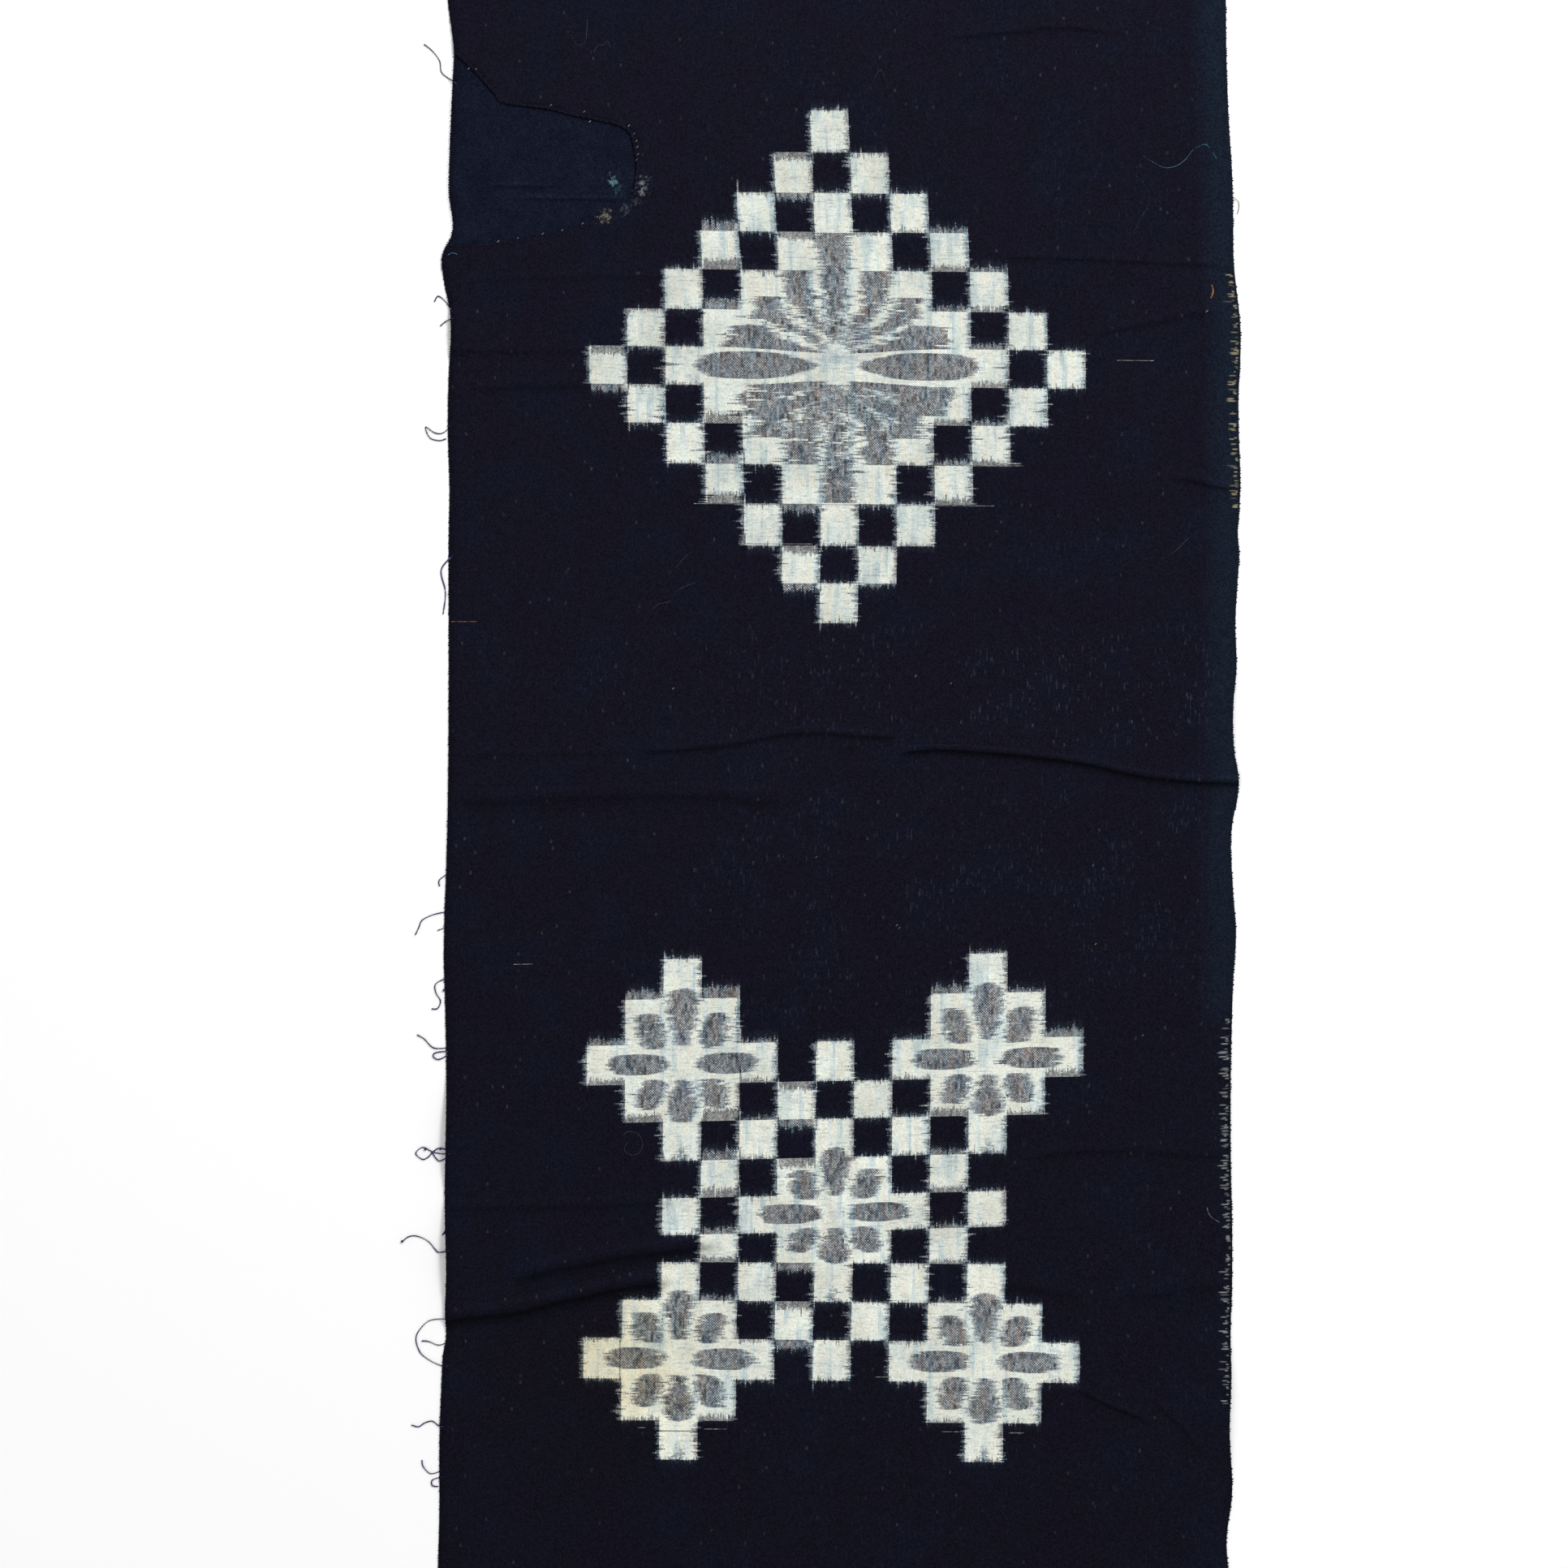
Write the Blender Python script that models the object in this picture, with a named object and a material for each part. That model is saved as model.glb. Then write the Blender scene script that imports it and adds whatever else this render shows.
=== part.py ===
# Ikat woven cloth: a cut length of narrow-loom cotton with a mended edge, lying face up.
# Metres, +Z up. The length runs along Y, the weft along X, and the figured face looks up.
# The origin is the middle of the outline, on the surface that the cloth lies on.
# Sizes and places below are in millimetres, and MM turns them to metres.

import math

import bmesh
import bpy
from mathutils import Vector

MM = 0.001

# driving dimensions
CLOTH_LENGTH = 728.0    # one full repeat of the figures, between its two plain cut ends
SHEET = 1.0             # thickness of every sheet
PART_GAP = 0.3          # clearance between neighbouring pieces
STRIP_WIDTH = 3.0       # the narrow edge strip that carries the sewing threads
THREAD = 0.5            # thickness of a sewing thread
THREAD_LIE = THREAD / 2 + 0.03  # height of a lying thread's middle
NOMINAL_LEFT = -160.0   # the edges' mean places, between which the columns are shared out
NOMINAL_RIGHT = 178.0
OUTER_LEFT = -200.0     # well outside the left edge, where the bite's cutter ends
CREASE_FOOT = 4.0       # from a crease's crest to each foot
CREASE_FADE = 12.0      # a crease dies away over this length past its span
ROW_STEP = 15.0         # row spacing away from the creases
MEND_ROW_STEP = 7.5     # row spacing beside the mend
COLUMN_STEP = 15.0      # column spacing over most of the width
MEND_COLUMN_STEP = 7.0  # column spacing beside the mend
MEND_COLUMNS_END = -48.0
MEND_MARGIN = 6.0       # how far the patch reaches in under the cloth
MEND_RISE = SHEET + PART_GAP
RISE_FULL = 18.0        # the cloth stays up this far round the bite
RISE_END = 30.0         # and lies flat again here

# the left edge, from the bottom end to the top end
LEFT_EDGE = [
    # (y, x)
    (-364, -165.2), (-316, -164.4), (-278, -164.2), (-246, -162.8), (-228, -161.8),
    (-210, -161.1), (-186, -161.8), (-157, -161.4), (-119, -161.4), (-76, -162.4),
    (-37, -161.4), (-8, -160.7), (50, -160.3), (107, -160.3), (127, -160.0),
    (155, -160.7), (180, -160.1), (194, -159.3), (203, -159.6), (217, -162.4),
    (229, -162.9), (236, -159.3), (275, -159.8), (303, -158.6), (315, -158.1),
    (338, -160.7), (364, -161.6)]

# the right edge, a selvedge pulled in and out by the weft
RIGHT_EDGE = [
    # (y, x)
    (-364, 175.4), (-337, 175.7), (-328, 175.1), (-306, 177.5), (-278, 176.3),
    (-254, 177.1), (-215, 177.5), (-191, 177.5), (-138, 176.8), (-85, 178.0),
    (-63, 179.2), (-47, 178.0), (-13, 178.3), (6, 179.9), (35, 178.0),
    (50, 179.4), (69, 178.9), (101, 180.6), (131, 181.0), (155, 180.3),
    (190, 181.0), (203, 180.6), (219, 178.6), (263, 177.5), (285, 176.1),
    (338, 174.8), (364, 174.2)]

# the creases, from the bottom end to the top end: each runs across the whole width, is
# raised only over its spans, and keeps clear of its neighbours
CREASES = [
    {"name": "lower_corner",
     "line": [(-165, -262), (101, -259), (113, -262), (130, -270), (141, -275), (153, -289), (177, -301)],
     "spans": [(106, 145, 1.2)]},
    {"name": "lower_right",
     "line": [(-165, -243), (101, -248), (136, -261), (147, -269), (155, -274), (163, -287), (177, -293)],
     "spans": [(138, 168, 1.0)]},
    {"name": "slant_low",
     "line": [(-165, -231), (-148, -229), (-122, -225), (-102, -220), (-81, -216), (-70, -214),
              (0, -215), (88, -217), (134, -220), (169, -216), (178, -216)],
     "spans": [(-170, -68, 1.7), (86, 172, 0.8)]},
    {"name": "slant_high",
     "line": [(-165, -216), (-135, -213), (-104, -207), (-77, -202), (-53, -199), (-4, -196),
              (80, -183), (115, -183), (178, -183)],
     "spans": [(-140, -50, 1.3), (78, 118, 0.6)]},
    {"name": "soft_band",
     "line": [(-165, -183), (-67, -180), (40, -172), (112, -158), (172, -160), (178, -160)],
     "spans": [(-162, -64, 0.7), (110, 172, 0.6)]},
    {"name": "under_middle",
     "line": [(-161, -7), (-30, -6), (30, -14), (178, -22)],
     "spans": [(-154, -20, 0.8)]},
    {"name": "middle",
     "line": [(-161, 12), (-80, 14), (-49, 16), (-20, 21), (-4, 22), (12, 21), (31, 20), (47, 15),
              (70, 14), (92, 12), (114, 9), (137, 4), (159, 1), (179, 1)],
     "spans": [(-162, 30, 1.3), (34, 190, 1.8)]},
    {"name": "right_short",
     "line": [(-160, 131), (150, 132), (159, 131), (168, 129), (181, 127)],
     "spans": [(154, 190, 0.9)]},
    {"name": "upper_band",
     "line": [(-160, 171), (-102, 172), (181, 170)],
     "spans": [(-146, -98, 0.6)]},
    {"name": "upper_right",
     "line": [(-160, 187), (-102, 187), (0, 189), (112, 193), (135, 197), (151, 201), (181, 206)],
     "spans": [(-160, -100, 0.6), (116, 170, 1.0)]},
    {"name": "straight",
     "line": [(-163, 217), (-102, 219), (-70, 219), (0, 222), (79, 227), (166, 224), (179, 223)],
     "spans": [(-146, -66, 0.6), (76, 170, 0.9)]},
    {"name": "top_line",
     "line": [(-160, 322), (59, 322), (108, 326), (122, 325), (175, 322)],
     "spans": [(56, 126, 0.6)]}]

# where an edge stands off the surface: middle y, half length, height, reach into the cloth
LEFT_LIFTS = [(-152, 26, 2.4, 22), (-201, 26, 2.0, 18), (196, 16, 1.8, 16)]
RIGHT_LIFTS = [(30, 30, 1.2, 16), (-270, 34, 1.4, 20)]
# the upright crease near the bottom end
UPRIGHT_X = 88.0
UPRIGHT_TOP = -286.0    # it rises from here down, and is full where it says
UPRIGHT_FULL = -304.0
UPRIGHT_HEIGHT = 1.1

# the bite, from the left edge's upper end of it round to the lower end
BITE = [
    (-159, 316), (-147, 305), (-136, 294), (-112, 290), (-93, 286), (-83, 283), (-79, 275),
    (-79, 263), (-80, 254), (-86, 248), (-93, 244), (-104, 240), (-112, 238), (-126, 235),
    (-144, 233), (-159, 233)]
BITE_MIDDLE = (-120.0, 262.0)
BITE_HALF = 40.0

# the sewing threads left in the edge: each starts inside the strip and lies on the surface
THREADS = {
    "top_tail": [(-157.0, 302.0), (-160, 304), (-163.5, 307), (-164.3, 312), (-167.7, 316.4), (-171, 319)],
    "hook": [(-158.2, 203), (-161.7, 208), (-164.9, 210.4), (-166.5, 208)],
    "short_hook": [(-158.2, 200.5), (-161.5, 199.5), (-164, 197.5)],
    "crescent": [(-158.8, 155.6), (-162.4, 151.6), (-166.3, 151.4), (-170.3, 154), (-168.6, 149.4),
                 (-164.5, 148.1), (-161.5, 148.9)],
    "edge_curl": [(-158.5, 98.6), (-163.6, 92.4), (-161.9, 84), (-161.9, 79.5), (-162.8, 73.2)],
    "stub": [(-159.5, -38), (-164.3, -41.3), (-164.3, -44.1)],
    "long_tail": [(-160.2, -55), (-164, -55.6), (-168, -56.7), (-171.9, -58.8), (-173.3, -62), (-174.8, -65.1)],
    "short_stub": [(-160.2, -61.4), (-165.2, -63.2)],
    "s_bend": [(-160.5, -83.5), (-165.9, -86.1), (-165.9, -90), (-163.9, -93.6), (-165.2, -96.8), (-167.7, -97)],
    "rising_tail": [(-159.6, -113.6), (-165.2, -114.1), (-168, -113.1), (-171, -109.9), (-174, -108.2)],
    "bow": [(-159.4, -159.2), (-164, -159.4), (-167.8, -158.4), (-171.6, -156.7), (-174.6, -159.3),
            (-171.6, -161.9), (-169.0, -160.8)],
    "wave": [(-159.8, -200.6), (-164.5, -202), (-166.3, -200.6), (-169.2, -197.2), (-174, -195),
             (-177.8, -195.3), (-180.7, -197.8)],
    "big_loop": [(-159.8, -230.8), (-164.5, -230.7), (-169.2, -231.7), (-173.1, -235.6), (-174.5, -239.1),
                 (-173.7, -243), (-171.9, -246.1), (-168, -248.9), (-163.6, -250.8), (-160.6, -251)],
    "loop_inside": [(-159.8, -240.2), (-164.5, -242), (-169.1, -240.4), (-172, -240.2)],
    "low_wave": [(-162.6, -277.2), (-164.6, -276.8), (-167.5, -274.8), (-170.8, -275.6), (-173.3, -277.2),
                 (-176.4, -276.5)],
    "low_fork": [(-162.8, -295.8), (-168, -297.5), (-171.3, -294.5), (-171.9, -291.6)],
    "low_fork_leg": [(-162.8, -298.6), (-167.4, -300.2), (-167.4, -302.6), (-164.9, -303)]}

MATERIALS = {
    # name: (linear colour, roughness, metallic)
    "indigo_ikat_cotton": ((0.0090, 0.0090, 0.0170), 0.92, 0.0),
    "plain_indigo_cotton": ((0.0100, 0.0115, 0.0230), 0.92, 0.0),
    "sewing_thread": ((0.0180, 0.0140, 0.0260), 0.80, 0.0)}


# helpers

def smooth_step(low, high, value):
    t = min(max((value - low) / (high - low), 0.0), 1.0)
    return t * t * (3.0 - 2.0 * t)


def read_curve(table, at):
    # a smooth curve through the rows of a table, whose first column rises
    last = len(table) - 1
    at = min(max(at, table[0][0]), table[-1][0])
    i = next(k for k in range(last) if at <= table[k + 1][0])
    slopes = []
    for k in (i, i + 1):
        a, b = table[max(k - 1, 0)], table[min(k + 1, last)]
        slopes.append((b[1] - a[1]) / (b[0] - a[0]))
    (x0, y0), (x1, y1) = table[i], table[i + 1]
    span = x1 - x0
    t = (at - x0) / span
    return ((2 * t ** 3 - 3 * t ** 2 + 1) * y0 + (t ** 3 - 2 * t ** 2 + t) * span * slopes[0]
            + (3 * t ** 2 - 2 * t ** 3) * y1 + (t ** 3 - t ** 2) * span * slopes[1])


def left_at(y):
    return read_curve(LEFT_EDGE, y)


def right_at(y):
    return read_curve(RIGHT_EDGE, y)


def smooth_route(points, steps):
    # points along one smooth curve through the route's own points
    padded = [points[0]] + points + [points[-1]]
    route = []
    for a, b, c, d in zip(padded, padded[1:], padded[2:], padded[3:]):
        for k in range(steps):
            t = k / steps
            route.append(0.5 * (2 * b + (c - a) * t + (2 * a - 5 * b + 4 * c - d) * t * t
                                + (3 * b - 3 * c + d - a) * t ** 3))
    route.append(points[-1])
    return route


def new_object(name, mesh_builder, material):
    mesh = bpy.data.meshes.new(name)
    for vertex in mesh_builder.verts:
        vertex.co *= MM
    bmesh.ops.recalc_face_normals(mesh_builder, faces=mesh_builder.faces)
    mesh_builder.to_mesh(mesh)
    mesh_builder.free()
    if material:
        mesh.materials.append(material)
    piece = bpy.data.objects.new(name, mesh)
    bpy.context.scene.collection.objects.link(piece)
    return piece


def make_material(name):
    colour, roughness, metallic = MATERIALS[name]
    material = bpy.data.materials.new(name)
    material.use_nodes = True
    shader = material.node_tree.nodes["Principled BSDF"]
    shader.inputs["Base Color"].default_value = (*colour, 1.0)
    shader.inputs["Roughness"].default_value = roughness
    shader.inputs["Metallic"].default_value = metallic
    return material


def sheet_from_grid(rows):
    # a closed sheet over rows of underside points, all rows of one length
    builder = bmesh.new()
    under = [[builder.verts.new(p) for p in row] for row in rows]
    upper = [[builder.verts.new(p + Vector((0, 0, SHEET))) for p in row] for row in rows]
    for r in range(len(rows) - 1):
        for c in range(len(rows[0]) - 1):
            for layer, flip in ((under, True), (upper, False)):
                face = [layer[r][c], layer[r][c + 1], layer[r + 1][c + 1], layer[r + 1][c]]
                builder.faces.new(face[::-1] if flip else face)
    last = len(rows[0]) - 1
    rim = ([(0, c) for c in range(last)] + [(r, last) for r in range(len(rows) - 1)]
           + [(len(rows) - 1, c) for c in range(last, 0, -1)] + [(r, 0) for r in range(len(rows) - 1, 0, -1)])
    for (r0, c0), (r1, c1) in zip(rim, rim[1:] + rim[:1]):
        builder.faces.new([under[r0][c0], under[r1][c1], upper[r1][c1], upper[r0][c0]])
    return builder


def extruded_outline(outline, low, high):
    builder = bmesh.new()
    base = builder.faces.new([builder.verts.new((x, y, low)) for x, y in outline])
    lifted = bmesh.ops.extrude_face_region(builder, geom=[base])["geom"]
    for item in lifted:
        if isinstance(item, bmesh.types.BMVert):
            item.co.z = high
    return builder


# the height of the cloth's underside

def bite_outline():
    # the bite, closed well outside the left edge
    return [(OUTER_LEFT, BITE[0][1])] + BITE + [(OUTER_LEFT, BITE[-1][1])]


def bite_distance(x, y):
    # how far a point lies outside the bite, 0 inside it
    outline = bite_outline()
    inside = False
    nearest = 1e9
    for (x0, y0), (x1, y1) in zip(outline, outline[1:] + outline[:1]):
        if (y0 > y) != (y1 > y) and x < x0 + (x1 - x0) * (y - y0) / (y1 - y0):
            inside = not inside
        along = Vector((x1 - x0, y1 - y0))
        t = min(max(Vector((x - x0, y - y0)).dot(along) / along.length_squared, 0.0), 1.0)
        nearest = min(nearest, math.hypot(x - x0 - along.x * t, y - y0 - along.y * t))
    return 0.0 if inside else nearest


def edge_lift(x, y):
    height = 0.0
    for lifts, inward in ((LEFT_LIFTS, x - left_at(y)), (RIGHT_LIFTS, right_at(y) - x)):
        for middle, half, top, reach in lifts:
            along = smooth_step(half, 0.0, abs(y - middle))
            height = max(height, top * along * smooth_step(reach, 0.0, inward))
    return height


def crest_height(crease, x):
    return max(top * smooth_step(start - CREASE_FADE, start + 1, x) * smooth_step(end + CREASE_FADE, end - 1, x)
               for start, end, top in crease["spans"])


def upright_height(x, y):
    # only the column on the crest is raised, so that its neighbours are the feet
    if abs(x - UPRIGHT_X) > CREASE_FOOT / 2:
        return 0.0
    return UPRIGHT_HEIGHT * smooth_step(UPRIGHT_TOP, UPRIGHT_FULL, y)


def underside(x, y, crest=0.0):
    rise = MEND_RISE * smooth_step(RISE_END, RISE_FULL, bite_distance(x, y))
    return max(rise, crest + edge_lift(x, y) + upright_height(x, y))


# the pieces

def column_places():
    # shares of the width: close beside the mend, wide elsewhere, and three at the upright crease
    places = []
    x = NOMINAL_LEFT
    while x < NOMINAL_RIGHT - COLUMN_STEP * 0.6:
        places.append(x)
        x += MEND_COLUMN_STEP if x < MEND_COLUMNS_END else COLUMN_STEP
    places = [p for p in places if abs(p - UPRIGHT_X) > COLUMN_STEP * 0.5]
    places += [UPRIGHT_X - CREASE_FOOT, UPRIGHT_X, UPRIGHT_X + CREASE_FOOT, NOMINAL_RIGHT]
    return [(p - NOMINAL_LEFT) / (NOMINAL_RIGHT - NOMINAL_LEFT) for p in sorted(places)]


def cloth_rows():
    # rows follow the creases, so that each crest and foot is a line of the mesh
    half = CLOTH_LENGTH / 2
    start = STRIP_WIDTH + PART_GAP
    guides = [{"line": [(-165, -half), (178, -half)], "spans": [(0, 0, 0.0)], "foot": 0.0}]
    guides += [dict(crease, foot=CREASE_FOOT) for crease in CREASES]
    guides += [{"line": [(-165, half), (178, half)], "spans": [(0, 0, 0.0)], "foot": 0.0}]

    def row_points(lines, crest_of=None):
        row = []
        for share, y in lines:
            x_low = left_at(y) + start
            x = x_low + share * (right_at(y) - x_low)
            crest = crest_height(crest_of, x) if crest_of else 0.0
            row.append(Vector((x, y, underside(x, y, crest))))
        return row

    shares = column_places()
    nominal = [NOMINAL_LEFT + (NOMINAL_RIGHT - NOMINAL_LEFT) * s for s in shares]
    heights = [[read_curve(g["line"], x) for x in nominal] for g in guides]
    rows = [row_points(list(zip(shares, heights[0])))]
    for index, (lower, upper) in enumerate(zip(guides, guides[1:])):
        low_ys = [y + lower["foot"] for y in heights[index]]
        high_ys = [y - upper["foot"] for y in heights[index + 1]]
        if lower["foot"]:
            rows.append(row_points(list(zip(shares, low_ys))))
        gap = max(b - a for a, b in zip(low_ys, high_ys))
        beside_mend = upper.get("name") == "top_line"
        count = int(gap / (MEND_ROW_STEP if beside_mend else ROW_STEP))
        for k in range(1, count + 1):
            t = k / (count + 1)
            rows.append(row_points([(s, a + (b - a) * t) for s, a, b in zip(shares, low_ys, high_ys)]))
        if upper["foot"]:
            rows.append(row_points(list(zip(shares, high_ys))))
        rows.append(row_points(list(zip(shares, heights[index + 1])), upper if upper["foot"] else None))
    return rows


def edge_rows():
    # where the cloth's rows meet its left edge, which its neighbours there share
    return [row[0].y for row in cloth_rows()]


def straight_between(rows, y):
    # the left edge at a height, on the straight run between two rows
    k = next(i for i in range(len(rows) - 1) if y <= rows[i + 1])
    t = (y - rows[k]) / (rows[k + 1] - rows[k])
    return left_at(rows[k]) * (1 - t) + left_at(rows[k + 1]) * t


def make_cloth(material):
    cloth = new_object("cloth", sheet_from_grid(cloth_rows()), material)
    cutter = new_object("bite_cutter", extruded_outline(bite_outline(), -10.0, 20.0), None)
    cutter.hide_render = True
    cutter.display_type = "WIRE"
    cut = cloth.modifiers.new("bite", "BOOLEAN")
    cut.operation = "DIFFERENCE"
    cut.object = cutter
    return cloth


def make_patch(material):
    # the patch follows the bite with a margin that is hidden under the cloth
    grow = 1.0 + MEND_MARGIN / BITE_HALF
    inner = [(BITE_MIDDLE[0] + (x - BITE_MIDDLE[0]) * grow, BITE_MIDDLE[1] + (y - BITE_MIDDLE[1]) * grow)
             for x, y in BITE[1:-1]]
    top, bottom = BITE[0][1] + MEND_MARGIN, BITE[-1][1] - MEND_MARGIN
    rows = edge_rows()
    beside = [y for y in rows if bottom < y < top]
    edge = [(straight_between(rows, y) + STRIP_WIDTH + PART_GAP, y) for y in [bottom] + beside + [top]]
    inner[-1] = (inner[-1][0], bottom)
    return new_object("mend_patch", extruded_outline(edge + inner, 0.0, SHEET), material)


def strip_rows():
    rows = []
    for y in edge_rows():
        x = left_at(y)
        rows.append([Vector((x + w, y, edge_lift(x + w, y))) for w in (0.0, STRIP_WIDTH)])
    return rows


def add_thread(builder, points):
    # a four-sided thread, lying level on the surface from a little way off its root
    route = []
    for k, (x, y) in enumerate(points):
        root = edge_lift(x, y) + SHEET * 0.5
        route.append(Vector((x, y, root if k == 0 else THREAD_LIE)))
    route = smooth_route(route, 3)
    for point in route:
        point.z = max(point.z, THREAD_LIE)
    rings = []
    half = THREAD * 0.5
    for k, point in enumerate(route):
        before, after = route[max(k - 1, 0)], route[min(k + 1, len(route) - 1)]
        along = (after - before).normalized()
        side = Vector((-along.y, along.x, 0)).normalized() * half
        up = Vector((0, 0, half))
        rings.append([builder.verts.new(point + a * side + b * up) for a, b in ((1, 1), (-1, 1), (-1, -1), (1, -1))])
    for ring, following in zip(rings, rings[1:]):
        for k in range(4):
            builder.faces.new([ring[k], ring[(k + 1) % 4], following[(k + 1) % 4], following[k]])
    builder.faces.new(rings[0][::-1])
    builder.faces.new(rings[-1])


def make_edge_threads(material):
    strip = new_object("edge_threads", sheet_from_grid(strip_rows()), material)
    builder = bmesh.new()
    for points in THREADS.values():
        add_thread(builder, points)
    tails = new_object("thread_tails", builder, None)
    tails.hide_render = True
    tails.display_type = "WIRE"
    join = strip.modifiers.new("threads", "BOOLEAN")
    join.operation = "UNION"
    join.object = tails
    join.use_self = True
    return strip


def main():
    for item in list(bpy.data.objects):
        bpy.data.objects.remove(item, do_unlink=True)
    make_cloth(make_material("indigo_ikat_cotton"))
    make_patch(make_material("plain_indigo_cotton"))
    make_edge_threads(make_material("sewing_thread"))


main()
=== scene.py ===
import math
from functools import partial

import bmesh
import bpy
import numpy as np
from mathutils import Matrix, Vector


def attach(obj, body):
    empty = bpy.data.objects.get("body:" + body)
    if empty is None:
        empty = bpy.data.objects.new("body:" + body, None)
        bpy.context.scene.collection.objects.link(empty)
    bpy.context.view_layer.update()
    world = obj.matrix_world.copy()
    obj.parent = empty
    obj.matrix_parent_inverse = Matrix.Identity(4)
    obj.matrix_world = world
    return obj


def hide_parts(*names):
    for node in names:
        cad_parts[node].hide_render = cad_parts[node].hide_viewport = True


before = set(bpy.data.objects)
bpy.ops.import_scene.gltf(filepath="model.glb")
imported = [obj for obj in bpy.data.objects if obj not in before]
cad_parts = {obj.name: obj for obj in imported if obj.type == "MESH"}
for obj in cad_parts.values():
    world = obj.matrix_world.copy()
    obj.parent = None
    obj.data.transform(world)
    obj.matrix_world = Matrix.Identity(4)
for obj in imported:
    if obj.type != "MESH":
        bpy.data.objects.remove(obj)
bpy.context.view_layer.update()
print("frame loaded")

# Places and sizes below are in millimetres: +X across the cloth to the right, +Y up its length,
# as in the solids. The photograph shows 1 mm as about 3 of its pixels.
mm = 0.001


# helpers

def linearColour(hexCode):
    # an sRGB hex value as linear light
    parts = [int(hexCode[k:k + 2], 16) / 255 for k in (0, 2, 4)]
    return (*[p / 12.92 if p <= 0.04045 else ((p + 0.055) / 1.055) ** 2.4 for p in parts], 1.0)


def addNode(tree, kind, *inputs, out=0, at=None, stops=None, ramp="LINEAR", points=None, **settings):
    # one node with its settings and links. A kind in capitals is a Math node's operation, and one
    # without Node in it is a shader node. A value in text is an sRGB hex colour. Stops are a colour
    # ramp's (place, colour), and points a float curve's (x, y)
    if kind.isupper():
        settings["operation"] = kind
        kind = "Math"
    made = tree.nodes.new(kind if "Node" in kind else "ShaderNode" + kind)
    for name, value in settings.items():
        setattr(made, name, value)
    if stops:
        elements = made.color_ramp.elements
        made.color_ramp.interpolation = ramp
        elements.remove(elements[1])
        stops = [(place, linearColour(c) if isinstance(c, str) else c) for place, c in stops]
        elements[0].position, elements[0].color = stops[0]
        for place, colour in stops[1:]:
            elements.new(place).color = colour
    if points:
        curve = made.mapping.curves[0]
        curve.points[0].location, curve.points[-1].location = points[0], points[-1]
        for x, y in points[1:-1]:
            curve.points.new(x, y)
        made.mapping.update()
    for socket, value in [*enumerate(inputs), *(at or {}).items()]:
        if isinstance(value, bpy.types.NodeSocket):
            tree.links.new(value, made.inputs[socket])
        elif value is not None:
            made.inputs[socket].default_value = linearColour(value) if isinstance(value, str) else value
    return made if out is None else made.outputs[out]


def newGroup(name, kind, inputs, result, resultType="Float"):
    # a node group with named inputs and one named result: the group, its addNode, its inputs'
    # sockets and its result's
    tree = bpy.data.node_groups.new(name, kind + "NodeTree")
    for socketName, socketType in inputs.items():
        tree.interface.new_socket(socketName, in_out="INPUT", socket_type="NodeSocket" + socketType)
    tree.interface.new_socket(result, in_out="OUTPUT", socket_type="NodeSocket" + resultType)
    given, end = [addNode(tree, kind, out=None) for kind in ("NodeGroupInput", "NodeGroupOutput")]
    return tree, partial(addNode, tree), given.outputs[:len(inputs)], end.inputs[0]


def newMaterial(name):
    # a material and its addNode
    material = bpy.data.materials.new(name)
    material.use_nodes = True
    return material, partial(addNode, material.node_tree)


def finishMaterial(material, colour, relief, bump, depth, roughness, specular):
    # colour and relief go to the shader, with its own constants; depth is in mm
    tree = material.node_tree
    shader = tree.nodes["Principled BSDF"].inputs
    tree.links.new(colour, shader["Base Color"])
    tree.links.new(addNode(tree, "Bump", at={"Strength": bump, "Distance": depth * mm, "Height": relief}),
                   shader["Normal"])
    shader["Roughness"].default_value = roughness
    shader["Specular IOR Level"].default_value = specular
    return material


def smoothStep(low, high, value):
    t = np.clip((np.asarray(value, float) - low) / (high - low), 0.0, 1.0)
    return t * t * (3.0 - 2.0 * t)


def smoothTable(rows):
    # a smooth curve through rows of (place, value), as a function
    places, values = np.array(sorted(rows), float).T
    slopes = np.gradient(values, places)
    fine = np.linspace(places[0], places[-1], 60 * len(rows))
    k = np.clip(np.searchsorted(places, fine) - 1, 0, len(places) - 2)
    span = places[k + 1] - places[k]
    t = (fine - places[k]) / span
    curve = ((2 * t ** 3 - 3 * t ** 2 + 1) * values[k] + (t ** 3 - 2 * t ** 2 + t) * span * slopes[k]
             + (3 * t ** 2 - 2 * t ** 3) * values[k + 1] + (t ** 3 - t ** 2) * span * slopes[k + 1])
    return lambda at: np.interp(at, fine, curve)


def smoothRoute(points, steps):
    # places along one smooth curve through the route's own points
    points = np.array(points, float)
    padded = np.vstack([points[:1], points, points[-1:]])
    route = []
    for a, b, c, d in zip(padded, padded[1:], padded[2:], padded[3:]):
        for k in range(steps):
            t = k / steps
            route.append(0.5 * (2 * b + (c - a) * t + (2 * a - 5 * b + 4 * c - d) * t * t
                                + (3 * b - 3 * c + d - a) * t ** 3))
    return np.array(route + [points[-1]])


def polylineDistance(x, y, line):
    nearest = np.full(np.shape(x), 1e9)
    for (x0, y0), (x1, y1) in zip(line, line[1:]):
        dx, dy = x1 - x0, y1 - y0
        t = np.clip(((x - x0) * dx + (y - y0) * dy) / (dx * dx + dy * dy), 0.0, 1.0)
        nearest = np.minimum(nearest, np.hypot(x - x0 - dx * t, y - y0 - dy * t))
    return nearest


def insideOutline(x, y, outline):
    inside = np.zeros(np.shape(x), bool)
    for (x0, y0), (x1, y1) in zip(outline, outline[1:] + outline[:1]):
        if y0 != y1:
            inside = inside ^ (((y0 > y) != (y1 > y)) & (x < x0 + (x1 - x0) * (y - y0) / (y1 - y0)))
    return inside


# the cloth: outline, creases and lie

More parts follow.
